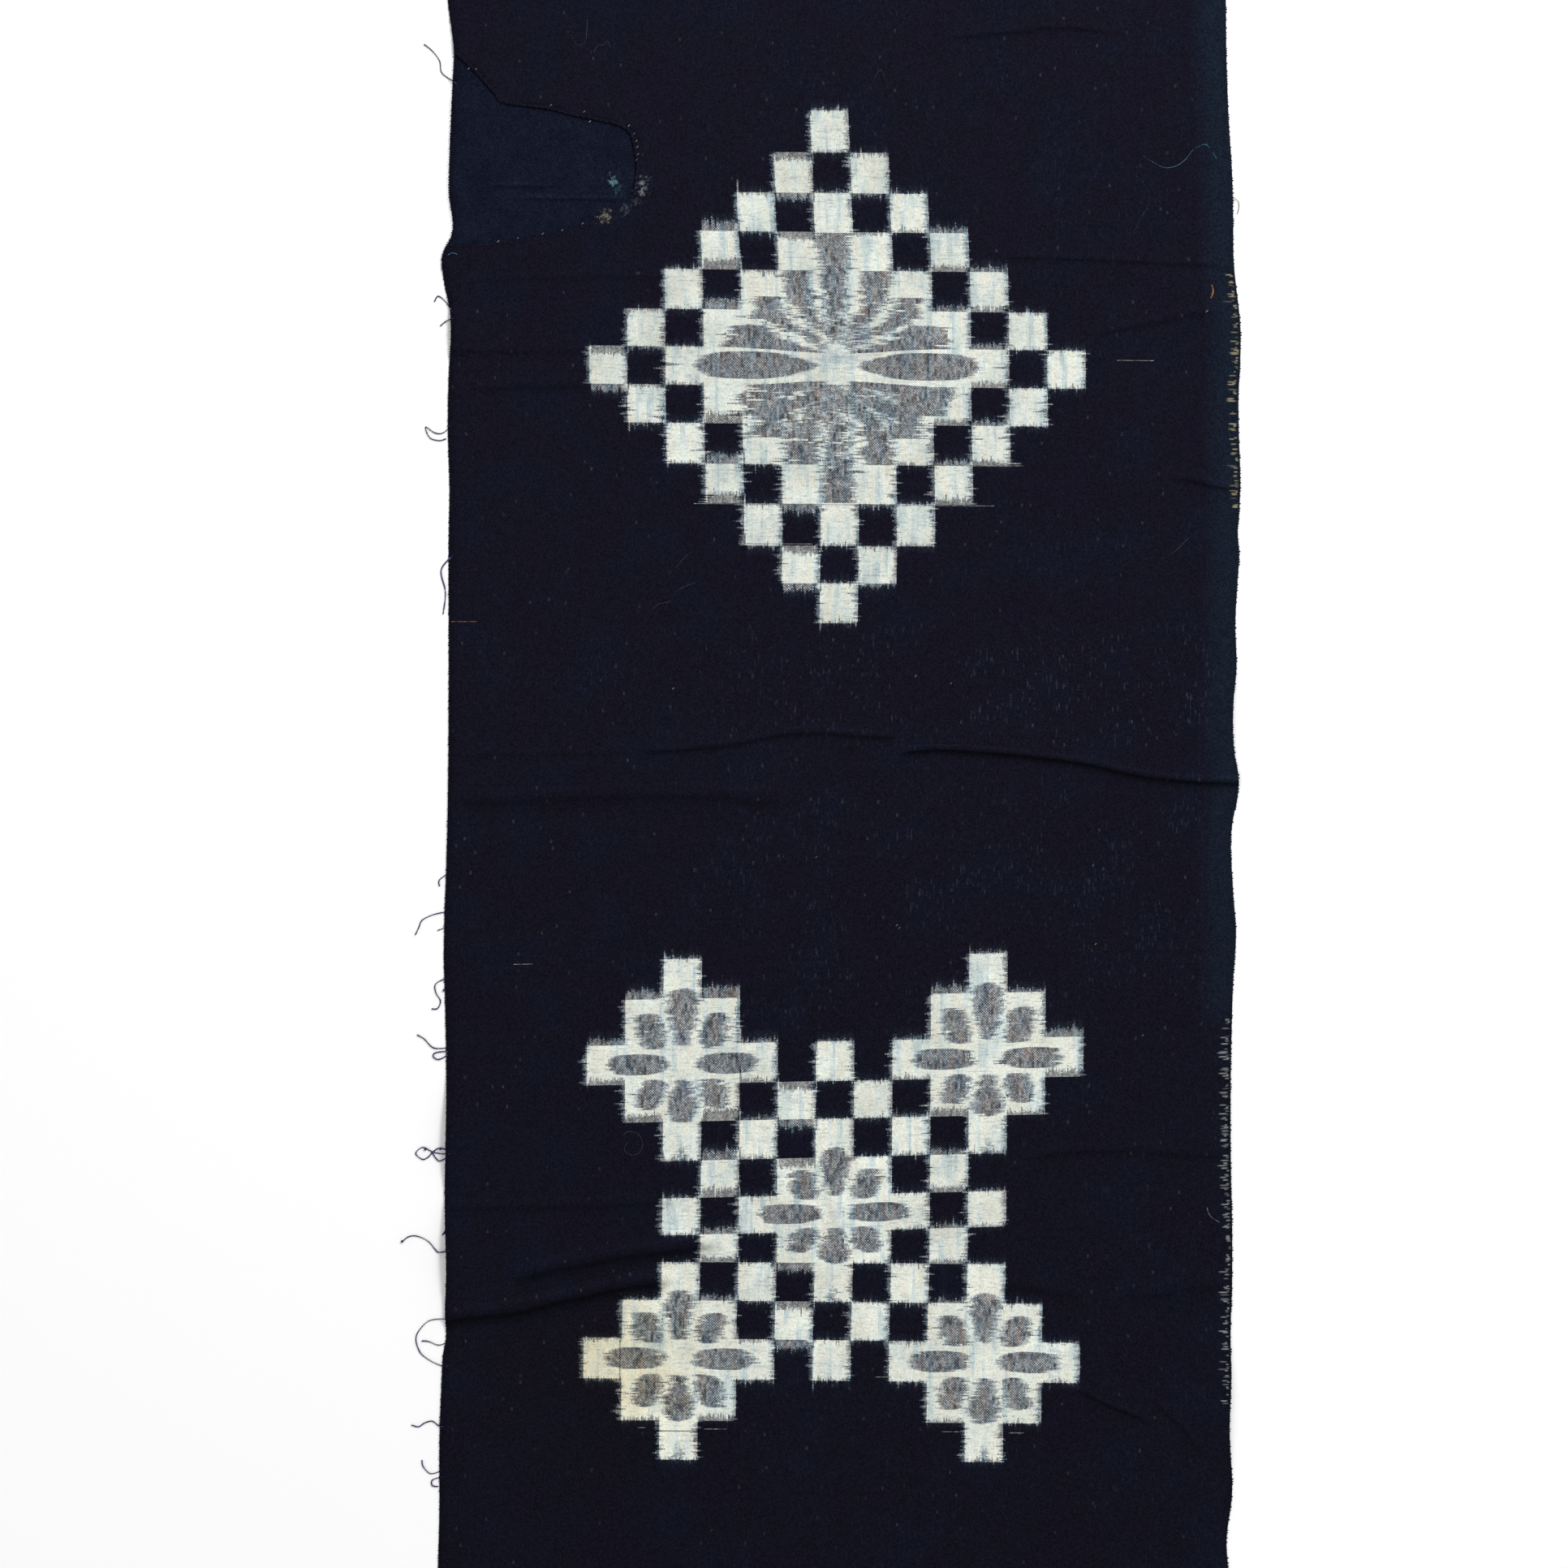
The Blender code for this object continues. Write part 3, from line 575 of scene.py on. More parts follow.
ikatPlan = {
    "yarnPitch": 0.55,          # 18 yarns to the centimetre, both ways
    "warpHalf": 0.46,           # half of a crossing that a raised warp covers
    "groundStops": [(0.36, "110f1b"), (0.5, "10101b"), (0.66, "0f111e")],
    "faded": "131b27",
    "seep": "4f7084",           # thin dye at the end of a clear stretch
    "warpStops": [(0.26, "cccbbf"), (0.38, "d2d3c6"), (0.46, "d3d6ca"), (0.54, "ced6cf"), (0.64, "bdcac9"),
                  (0.74, "9bb2b8")],
    "weftStops": [(0.0, "c9cec6"), (0.5, "d2d4c9"), (1.0, "d9d6c7")],
    # a clear yarn among dyed ones takes some of their dye, and is painted darker for the shade that the dark
    # yarns round it cast and the light they don't bounce
    "loneWarpStops": [(0.30, "a99d98"), (0.41, "aeacaa"), (0.50, "acb1b4"), (0.59, "9fabb1"),
                      (0.70, "8193a0")],
    "loneWeft": "9a9b99",
    "weftFade": 1.2,            # half the stretch over which a yarn's dye ends, mm
    "warpFade": 0.8,
    "warpTail": (3.6, 0.06),    # a thin tail of clear warp beyond that: reach in mm, strength
    "petalFade": 1.1,
    "jitter": 1.3,              # unevenness of that end from crossing to crossing, mm
    "weftStray": 1.0,           # how far a pick's dye edge strays, mm
    "warpStray": 0.8,
    "weftShift": 0.055,         # how far the picks' dye lies off the chart, in checkers
    "rowSpan": (-12.0, 34.0),   # the rows that the tables by row below run over
    # how restless the picks' dye is, (row, times)
    "unrest": [(-12.0, 1.0), (0.42, 1.0), (1.34, 2.0), (3.18, 2.0), (4.1, 1.0), (26.18, 1.0), (27.1, 1.3),
               (28.25, 1.3), (28.94, 1.0)],
    # how far petals stray, (row, mm)
    "petalStray": [(-4.0, 1.8), (-2.4, 2.0), (-1.5, 2.4), (-1.2, 3.8), (-0.62, 4.2), (-0.47, 0.9),
                   (0.47, 0.9), (0.62, 4.4), (2.5, 4.2), (2.9, 1.8), (3.6, 1.5), (12.0, 1.4), (34.0, 1.4)],
    "fleck": "504e58",
    "lint": "7f828c",
    "fleckZones": [(-12.0, 0.1), (6.4, 0.1), (7.2, 0.5), (9.0, 0.5), (10.0, 0.1), (12.0, 0.3), (16.4, 0.3),
                   (17.5, 0.1), (34.0, 0.1)],        # (row, share)
    "grainSpan": [(0.0, 0.8), (0.25, 0.8), (0.5, 0.9), (0.75, 0.5), (1.0, 0.26)],    # (share clear, span)
    # painted shade on the creases: middle above the crest, reach and strength of each band, mm; a negative
    # strength paints a paler rise as a highlight
    "creaseShades": [(-0.9, 3.2, 0.26), (-0.7, 1.0, 0.26), (1.9, 1.6, -0.12)],
    "tone": (-11.0, 33.0, 1.18, 0.95),         # of dyed yarns: from row, to row, brightness at each
    # clear yarns are painted lighter towards the lower end, against the key lamp's falloff there
    "clearTone": (-11.0, 33.0, 0.95, 1.13),    # of clear yarns
    "coolUpper": 0.05,          # the upper figure's clear warps are a little bluer
    "flowerMiddle": (0.15, -0.35, 0.0),        # where dye seeped along the picks: column, row
    "stain": "fff4de",
    "stainPlace": (-5.9, 26.35, 0.0),
    # undyed dashes at the right selvedge: middle down, half length, colour
    "dashes": [(-171.0, 51.0, "a39a78"), (185.0, 81.0, "8f9896")],
    # a crossed warp and missed picks in the lower left flower: across, down, half sizes, strength
    "darkMarks": [(-91.3, 249.4, 0.32, 8.9, 0.55), (-66.0, 279.6, 9.5, 0.34, 0.6),
                  (-68.0, 236.6, 17.0, 0.28, 0.3), (-73.0, 265.2, 2.8, 0.4, 0.6)],
    # how far each column's warps slipped down before weaving, mm: (column, in the upper figure, at
    # the lower one's top, at its bottom)
    "warpSlip": [(-7, 0.0, 0.0, 0.0), (-6, 3.2, -2.0, 0.6), (-5, 0.8, -3.2, -0.8), (-4, -0.4, -0.8, 0.0),
                 (-3, -4.2, -4.8, -1.8), (-2, 0.5, -1.4, 0.8), (-1, 3.0, 3.7, 3.7), (0, -0.6, -0.2, -0.2),
                 (1, 0.8, 0.0, 0.0), (2, -0.5, -1.0, 0.4), (3, -2.2, -3.0, -0.9), (4, -2.0, -0.8, -0.8),
                 (5, 0.0, -1.4, 0.0), (6, -0.3, -3.0, -0.3), (7, 0.0, 0.0, 0.0)],
    # dye that seeped into the figures: across, down, half sizes, strength
    "seepDye": "365a86",
    "seepMarks": [(-65.5, 109.5, 3.4, 4.4, 0.40), (-65.0, 129.9, 3.6, 5.4, 0.55),
                  (0.0, -183.6, 9.0, 2.6, 0.32), (9.4, -194.0, 5.5, 6.5, 0.35),
                  (-65.4, 262.0, 2.8, 2.8, 0.5), (-74.0, 241.6, 3.0, 3.2, 0.4),
                  (64.0, 117.0, 2.6, 6.0, 0.2), (0.0, 186.0, 3.0, 6.0, 0.25)]}

flowerPlan = {
    # the big flower, in checkers from its middle; curves run over a share of 4 checkers
    "reach": 5.2,
    "leafEnd": 3.05,
    "slantSpan": (0.45, 1.84),
    "steepSpan": (0.60, 2.5),
    "uprightSpan": (0.72, 3.48),
    "sideHalf": [(0.0, 0.0), (0.115, 0.0), (0.15, 0.07), (0.25, 0.19), (0.37, 0.31), (0.50, 0.355),
                 (0.65, 0.355), (0.775, 0.33), (0.86, 0.26), (0.905, 0.13), (0.93, 0.0), (1.0, 0.0)],
    "leafTop": [(0.0, 0.0), (0.08, 0.09), (0.17, 0.122), (0.265, 0.15), (0.38, 0.21), (0.47, 0.262),
                (0.55, 0.28), (0.61, 0.28), (0.69, 0.26), (0.725, 0.225), (0.75, 0.17), (0.765, 0.0),
                (1.0, 0.0)],
    "leafFoot": [(0.0, 0.088), (0.15, 0.094), (0.25, 0.099), (0.375, 0.108), (0.50, 0.116), (0.75, 0.125),
                 (1.0, 0.13)],
    "slantMiddle": [(0.0, 0.05), (0.1375, 0.10), (0.1625, 0.14), (0.20, 0.195), (0.25, 0.2875),
                    (0.275, 0.3475), (0.32, 0.4175), (0.35, 0.4325), (0.40, 0.4525), (0.455, 0.4625),
                    (1.0, 0.5)],
    "slantHalf": [(0.0, 0.0), (0.125, 0.08), (0.1625, 0.15), (0.20, 0.22), (0.25, 0.34), (0.275, 0.34),
                  (0.32, 0.40), (0.35, 0.37), (0.40, 0.34), (0.455, 0.35), (1.0, 0.35)],
    "steepMiddle": [(0.0, 0.0), (0.23, 0.0775), (0.25, 0.104), (0.2975, 0.1475), (0.365, 0.20),
                    (0.455, 0.244), (0.6125, 0.2625), (1.0, 0.27)],
    "steepHalf": [(0.0, 0.0), (0.17, 0.05), (0.23, 0.10), (0.25, 0.135), (0.2975, 0.19), (0.365, 0.27),
                  (0.455, 0.315), (0.6125, 0.355), (1.0, 0.355)],
    "uprightHalf": [(0.0, 0.0), (0.1, 0.08), (0.2, 0.14), (0.25, 0.16), (0.425, 0.26), (0.55, 0.30),
                    (0.70, 0.40), (0.85, 0.43), (1.0, 0.43)],
    # the small flowers; curves run over a share of 2.5 checkers
    "smallReach": 3.0,
    "smallShare": (0.425, 0.065),    # of an upright petal's height, and how much more below
    "smallSideHalf": [(0.0, 0.0), (0.15, 0.0), (0.175, 0.12), (0.23, 0.20), (0.34, 0.25), (0.52, 0.265),
                      (0.66, 0.24), (0.74, 0.17), (0.785, 0.0), (1.0, 0.0)],
    "smallUprightHalf": [(0.0, 0.0), (0.19, 0.0), (0.21, 0.14), (0.32, 0.22), (0.44, 0.31), (0.54, 0.37),
                         (0.62, 0.37), (0.68, 0.32), (0.73, 0.20), (0.76, 0.0), (1.0, 0.0)]}


def makeFigureMask():
    # 1 where a checker of the figures is white, from its column and row
    tree, node, (column, row), result = newGroup("figureMask", "Shader", {"column": "Float", "row": "Float"},
                                                 "white")
    lower = node("GREATER_THAN", row, chartPlan["lowerFigureRow"] / 2)
    local = node("SUBTRACT", row, node("MULTIPLY", lower, chartPlan["lowerFigureRow"]))
    a, b = [node("ABSOLUTE", node("ROUND", part)) for part in (column, local)]
    steps = node("ADD", a, b)
    middle = node("LESS_THAN", steps, node("MULTIPLY_ADD", lower, -2.0, 4.5))
    ring = node("COMPARE", steps, node("MULTIPLY_ADD", lower, -2.0, 6.0), 0.4)
    fromCorner = node("ADD", *[node("ABSOLUTE", node("SUBTRACT", part, 4.0)) for part in (a, b)])
    corner = node("MULTIPLY", node("LESS_THAN", fromCorner, 2.5), lower)
    white = node("MAXIMUM", node("MAXIMUM", middle, ring), corner)
    tree.links.new(white, result)
    return tree


def makePetalDye():
    # 1 where a pick is dyed for a petal, from its column and row
    tree, node, (column, row), result = newGroup("petalDye", "Shader", {"column": "Float", "row": "Float"},
                                                 "dyed")
    plan = flowerPlan

    def joined(operation, *parts):
        total = parts[0]
        for part in parts[1:]:
            total = node(operation, total, part)
        return total

    def between(value, low, high):
        return joined("MULTIPLY", node("LESS_THAN", low, value), node("LESS_THAN", value, high))

    def near(value, middle, half):
        return node("LESS_THAN", node("ABSOLUTE", node("SUBTRACT", value, middle)), half)

    u, v = node("ABSOLUTE", column), node("ABSOLUTE", row)
    uShare, vShare = node("MULTIPLY", u, 0.25), node("MULTIPLY", v, 0.25)
    curves = {name: node("FloatCurve", 1.0, share, points=plan[name]) for share, names in (
        (uShare, ("sideHalf", "leafTop", "leafFoot")),
        (vShare, ("slantMiddle", "slantHalf", "steepMiddle", "steepHalf", "uprightHalf"))) for name in names}
    wide = {name: node("MULTIPLY", curves[name], 4.0)
            for name in ("leafTop", "leafFoot", "slantMiddle", "steepMiddle")}
    below = node("GREATER_THAN", row, 0.0)
    side = near(row, -0.03, curves["sideHalf"])
    leafTop = node("MULTIPLY", wide["leafTop"], node("MULTIPLY_ADD", below, 0.12, 1.0))
    lowerLeft = node("MULTIPLY", below, node("LESS_THAN", column, 0.0))
    leafEnd = node("MULTIPLY_ADD", lowerLeft, -0.6, plan["leafEnd"])
    leaf = joined("MULTIPLY", between(v, wide["leafFoot"], leafTop), node("LESS_THAN", u, leafEnd))
    halves = [node("MULTIPLY_ADD", below, 0.08, curves[name]) for name in ("slantHalf", "steepHalf")]
    slant = joined("MULTIPLY", near(u, wide["slantMiddle"], halves[0]), between(v, *plan["slantSpan"]))
    steep = joined("MULTIPLY", near(u, wide["steepMiddle"], halves[1]), between(v, *plan["steepSpan"]))
    start, end = plan["uprightSpan"]
    upright = joined("MULTIPLY", near(column, -0.05, curves["uprightHalf"]),
                     between(v, node("MULTIPLY_ADD", below, -0.25, start), end))
    inside = node("LESS_THAN", node("ADD", u, v), plan["reach"])
    big = joined("MULTIPLY", joined("MAXIMUM", side, leaf, slant, steep, upright), inside)

    # the lower figure's flowers, one in the middle and one at each corner
    lower = node("GREATER_THAN", row, chartPlan["lowerFigureRow"] / 2)
    local = node("SUBTRACT", row, chartPlan["lowerFigureRow"])
    steps = [node("ABSOLUTE", node("SUBTRACT", node("ROUND", node("ABSOLUTE", part)), 4.0))
             for part in (column, local)]
    shift = node("MULTIPLY", node("LESS_THAN", joined("ADD", *steps), 2.5), 4.0)
    flowerColumn, flowerRow = [node("SUBTRACT", part, node("MULTIPLY", node("SIGN", part), shift))
                               for part in (column, local)]
    u, v = node("ABSOLUTE", flowerColumn), node("ABSOLUTE", flowerRow)
    share, more = plan["smallShare"]
    share = node("MULTIPLY_ADD", node("GREATER_THAN", flowerRow, 0.0), more, share)
    sides = node("LESS_THAN", v, node("FloatCurve", 1.0, node("MULTIPLY", u, 0.4),
                                      points=plan["smallSideHalf"]))
    uprights = node("LESS_THAN", u, node("FloatCurve", 1.0, node("MULTIPLY", v, share),
                                         points=plan["smallUprightHalf"]))
    # the slanting petals are rounded squares
    p = node("MULTIPLY", node("SUBTRACT", u, node("MULTIPLY_ADD", v, 0.24, 0.64)), 3.1)
    q = node("MULTIPLY_ADD", v, 2.5, -1.95)
    slants = node("LESS_THAN", node("ADD", node("POWER", node("ABSOLUTE", p), 3.0),
                                    node("POWER", node("ABSOLUTE", q), 3.0)), 1.0)
    small = joined("MULTIPLY", joined("MAXIMUM", sides, uprights, slants),
                   node("LESS_THAN", node("ADD", u, v), plan["smallReach"]), lower)
    dyed = node("MAXIMUM", small, joined("MULTIPLY", big, node("SUBTRACT", 1.0, lower)))
    tree.links.new(dyed, result)
    return tree


def makeDyeStray():
    # how far a dyed edge strays on one yarn: its own share and its bundle's, about a millimetre
    tree, node, (yarn, edge, seed), result = newGroup("dyeStray", "Shader", {
        "yarn": "Float", "edge": "Float", "seed": "Float"}, "stray")
    own = node("TexWhiteNoise", node("CombineXYZ", yarn, edge, seed), out=1)
    bundle = node("FLOOR", node("MULTIPLY", yarn, 0.25))
    shared = node("TexWhiteNoise", node("CombineXYZ", bundle, edge, node("ADD", seed, 9.0)))
    total = node("VectorMath", own, (1.0, 1.0, 1.0), out=1, operation="DOT_PRODUCT")
    bell = node("SUBTRACT", total, 1.5)
    far = node("MULTIPLY", node("MULTIPLY", bell, bell), bell)
    both = node("MULTIPLY_ADD", far, 0.8, node("MULTIPLY", bell, 0.8))
    group = node("MULTIPLY_ADD", shared, 0.9, -0.45)
    tree.links.new(node("ADD", both, group), result)
    return tree


def yarnGrid(node, pitch):
    # across and down in mm, the yarns' indices, how far off each yarn's middle, and which lies on top
    flat = node("SeparateXYZ", node("UVMap", uv_map="yarns"), out=None).outputs
    places = [node("MULTIPLY", flat[k], 1 / pitch) for k in (0, 1)]
    indices = [node("FLOOR", place) for place in places]
    off = [node("ABSOLUTE", node("SUBTRACT", node("FRACT", place), 0.5)) for place in places]
    parity = node("FLOORED_MODULO", node("ADD", *indices), 2.0)
    return flat[0], flat[1], indices, off, parity


# a Mix node for colours: the factor goes to socket 0 and the colours to 6 and 7
colourMix = {"out": 2, "data_type": "RGBA"}
shadeMix = {"blend_type": "MULTIPLY", **colourMix}
# plain noise over two coordinates
softNoise = {"at": {"Scale": 1.0, "Detail": 1.0}, "noise_dimensions": "2D"}


def makeIkatCotton():
    # hand-spun cotton in double ikat: both yarns were tied, dyed in indigo and then woven, so
    # figures have feathered edges, white where both yarns are clear and grey where one is
    material, node = newMaterial("ikatCotton")
    plan, checker = ikatPlan, chartPlan["column"]
    across, down, (warp, weft), (offWarp, offWeft), parity = yarnGrid(node, plan["yarnPitch"])
    column, row = node("SeparateXYZ", node("UVMap", uv_map="figures"), out=None).outputs[:2]
    lower = node("GREATER_THAN", row, chartPlan["lowerFigureRow"] / 2)
    mask, petals, stray = makeFigureMask(), makePetalDye(), makeDyeStray()
    firstRow, lastRow = plan["rowSpan"]
    rowShare = node("MapRange", row, firstRow, lastRow)

    def alongRows(table, scale=1.0):
        # a value that follows the rows, from (row, value)
        stops = [((place - firstRow) / (lastRow - firstRow), (value / scale,) * 4) for place, value in table]
        return node("MULTIPLY", node("ValToRGB", rowShare, stops=stops), scale)

    # three chances at each crossing
    chances = node("SeparateXYZ", node("TexWhiteNoise", node("CombineXYZ", warp, weft), out=1,
                                       noise_dimensions="2D"), out=None).outputs
    jitter = node("MULTIPLY_ADD", chances[0], plan["jitter"] / checker, -0.5 * plan["jitter"] / checker)

    # how the dyed edges stray, more in some rows than in others
    strays = [node("Group", yarn, node("ROUND", edge), seed, node_tree=stray) for yarn, edge, seed in (
        (weft, node("SUBTRACT", column, 0.5), 1.0), (weft, node("MULTIPLY", column, 1.9), 2.0),
        (warp, node("SUBTRACT", row, 0.5), 3.0))]
    weftColumn = node("MULTIPLY_ADD", node("MULTIPLY", strays[0], alongRows(plan["unrest"], 2.0)),
                      plan["weftStray"] / checker, node("ADD", column, plan["weftShift"]))
    petalColumn = node("MULTIPLY_ADD", strays[1], node("MULTIPLY", alongRows(plan["petalStray"], 5.0),
                                                       1 / checker), column)
    warpRow = node("MULTIPLY_ADD", strays[2], plan["warpStray"] / checker, row)
    weftColumn, petalColumn, warpRow = [node("ADD", place, jitter)
                                        for place in (weftColumn, petalColumn, warpRow)]
    # how far the column's warps slipped down, a tenth of it as a share of each ramp channel
    slipStops = [((index + 7) / 15, (*[0.5 + value / 10 for value in values], 1.0))
                 for index, *values in plan["warpSlip"]]
    slips = node("ValToRGB", node("MapRange", column, -7.5, 7.5), ramp="CONSTANT", stops=slipStops)
    slips = node("SeparateColor", slips, out=None).outputs
    lowerSlip = node("Mix", node("MapRange", row, 19.0, 25.0), None, *slips[1:3])
    slipHere = node("SUBTRACT", node("Mix", lower, None, slips[0], lowerSlip), 0.5)
    warpRow = node("MULTIPLY_ADD", slipHere, -10 / checker, warpRow)

    # where each yarn is clear: between one checker and the next its dye ends over a short stretch
    clears = []
    for strayed, fade, isWeft in ((weftColumn, plan["weftFade"], True), (warpRow, plan["warpFade"], False)):
        place = node("SUBTRACT", strayed, 0.5)
        edge = node("ROUND", place)
        beyond = node("SUBTRACT", place, edge)
        sides = [node("Group", *((side, row) if isWeft else (column, side)), node_tree=mask)
                 for side in (edge, node("ADD", edge, 1.0))]
        share = node("MapRange", beyond, -fade / checker, fade / checker)
        clears.append(node("MapRange", node("Mix", share, None, *sides), 0.2, 1.0))
    inFigure, warpClear = clears
    reach, strength = plan["warpTail"]
    tail = node("Mix", node("MapRange", beyond, -reach / checker, reach / checker), None, *sides)
    warpClear = node("MAXIMUM", warpClear, node("MULTIPLY", tail, strength))
    inPetal = 0.0
    for shift in (-1.0, 0.0, 1.0):
        strayed = node("ADD", petalColumn, shift * plan["petalFade"] / checker)
        inPetal = node("MULTIPLY_ADD", node("Group", strayed, row, node_tree=petals), 0.34, inPetal)
    inPetal = node("MINIMUM", node("MULTIPLY", inPetal, 1.2), 1.0)
    weftClear = node("MULTIPLY", inFigure, node("SUBTRACT", 1.0, inPetal))

    # the yarns' own colours. Tints run two warps wide, since one is too fine to show
    pair = node("FLOOR", node("MULTIPLY", warp, 0.5))
    tints = [node("TexNoise", node("CombineXYZ", node("MULTIPLY", pair, acrossScale),
                                   node("MULTIPLY", down, downScale)), **softNoise)
             for acrossScale, downScale in ((0.3, 0.04), (7.37, 0.13))]
    warpTint = node("ADD", node("MULTIPLY", tints[0], 0.45), node("MULTIPLY", tints[1], 0.55))
    # a bluer cast in every fourth column, and in the upper figure
    quarter = node("MULTIPLY", column, 0.25)
    offMiddle = node("ABSOLUTE", node("SUBTRACT", quarter, node("ROUND", quarter)))
    seeped = node("MULTIPLY", node("MapRange", offMiddle, 0.11, 0.03, 0.0, 0.01),
                  node("MAXIMUM", lower, node("LESS_THAN", node("ABSOLUTE", column), 1.0)))
    coolUpper = node("MapRange", row, 12.0, 2.0, 0.0, plan["coolUpper"])
    slowTint = node("ADD", node("ADD", tints[0], seeped), coolUpper)
    warpWhite, loneWarp = [node("ValToRGB", tint, stops=plan[name])
                           for name, tint in (("warpStops", slowTint), ("loneWarpStops", warpTint))]
    weftWhite = node("ValToRGB", node("TexWhiteNoise", at={"W": weft}, noise_dimensions="1D"),
                     stops=plan["weftStops"])
    weftWhite = node("Mix", at={0: 0.3, 6: weftWhite, 7: warpWhite}, **colourMix)
    # dye that seeped along some picks, most at the big flower's middle
    pickNoise = node("TexNoise", node("CombineXYZ", node("MULTIPLY", across, 0.15),
                                      node("MULTIPLY", weft, 0.9)), **softNoise)
    fromMiddle = node("VectorMath", node("CombineXYZ", column, row), plan["flowerMiddle"], out=1,
                      operation="DISTANCE")
    pickNoise = node("SUBTRACT", pickNoise, node("MapRange", fromMiddle, 0.8, 0.2, 0.0, 0.17))
    pickDye = node("MapRange", pickNoise, 0.42, 0.26, 0.0, 0.45)
    weftWhite = node("Mix", at={0: pickDye, 6: weftWhite, 7: plan["seep"]}, **colourMix)
    # clear yarns among dyed ones: part dye, part painted shade from the dark yarns round them
    warpWhite = node("Mix", at={0: weftClear, 6: loneWarp, 7: warpWhite}, **colourMix)
    weftWhite = node("Mix", at={0: warpClear, 6: plan["loneWeft"], 7: weftWhite}, **colourMix)

    # the ground: indigo in slow clouds, faint clear flecks along the warp, lint and a faded edge
    cloud = node("TexNoise", node("CombineXYZ", across, down), noise_dimensions="2D",
                 at={"Scale": 0.035, "Detail": 4.0, "Roughness": 0.65})
    ground = node("ValToRGB", cloud, stops=plan["groundStops"])
    fleckNoise = node("TexNoise", node("CombineXYZ", node("MULTIPLY", warp, 0.61),
                                       node("MULTIPLY", down, 0.20)), **softNoise)
    fleck = node("MapRange", node("MULTIPLY_ADD", cloud, 0.5, fleckNoise), 0.93, 1.1, 0.0, 0.5)
    fleckZone = node("MULTIPLY", alongRows(plan["fleckZones"]),
                     node("MapRange", across, -70.0, -30.0, 0.25, 1.0))
    lintCell = node("CombineXYZ", node("FLOOR", node("MULTIPLY", across, 1.1)),
                    node("FLOOR", node("MULTIPLY", down, 0.7)), 5.0)
    lint = node("MapRange", node("TexWhiteNoise", lintCell), 0.9955, 1.0, 0.0, 0.08)
    fromRight = node("Attribute", out=2, attribute_name="fromRight")
    edgePlace = node("MULTIPLY_ADD", cloud, 4.0, fromRight)
    edgeFade = node("MULTIPLY", node("MapRange", edgePlace, 18.0, 9.0, 0.0, 0.8),
                    node("MapRange", row, 17.6, 16.6, 0.1, 1.0))
    for share, name in ((node("MULTIPLY", fleck, fleckZone), "fleck"), (lint, "lint"), (edgeFade, "faded")):
        ground = node("Mix", at={0: share, 6: ground, 7: plan[name]}, **colourMix)

    # what lies on top at each crossing; single crossings are too fine to show, so half of each is
    # the mean of both yarns
    tension = node("TexNoise", node("CombineXYZ", node("MULTIPLY", pair, 5.19),
                                    node("MULTIPLY", weft, 0.12)), **softNoise)
    tension = node("MapRange", tension, 0.25, 0.75, 0.4, 1.75)
    warpShow = node("MULTIPLY", node("LESS_THAN", offWarp, plan["warpHalf"]), node("LESS_THAN", offWeft, node(
        "MULTIPLY", tension, node("MULTIPLY_ADD", chances[1], 0.34, 0.3))))
    warpTop = node("MULTIPLY", warpShow, node("LESS_THAN", parity, 0.5))
    warpShare = node("Mix", 0.5, None, warpTop, node("MULTIPLY", tension, 0.40))
    faces = []
    for clear, white in ((weftClear, weftWhite), (warpClear, warpWhite)):
        seeping = node("MULTIPLY", node("MULTIPLY", clear, node("SUBTRACT", 1.0, clear)), 1.8)
        dyed = node("Mix", at={0: clear, 6: ground, 7: white}, **colourMix)
        faces.append(node("Mix", at={0: seeping, 6: dyed, 7: plan["seep"]}, **colourMix))
    face = node("Mix", at={0: warpShare, 6: faces[0], 7: faces[1]}, **colourMix)
    clear = node("Mix", warpShare, None, weftClear, warpClear)
    figureShow = node("MULTIPLY", node("ADD", weftClear, warpClear), 0.5)
    grainSpan = node("FloatCurve", 1.0, figureShow, points=plan["grainSpan"])
    bright = node("MULTIPLY_ADD", node("SUBTRACT", chances[2], 0.5), grainSpan, 1.0)
    # dyed yarns darker towards the lower end; clear yarns painted lighter there, against the key lamp's
    # falloff, with random clouds of tone
    tone, clearTone = [node("MapRange", row, *plan[name]) for name in ("tone", "clearTone")]
    clearTone = node("MULTIPLY_ADD", node("SUBTRACT", cloud, 0.5), 0.7, clearTone)
    bright = node("MULTIPLY", bright, node("Mix", clear, None, tone, clearTone))

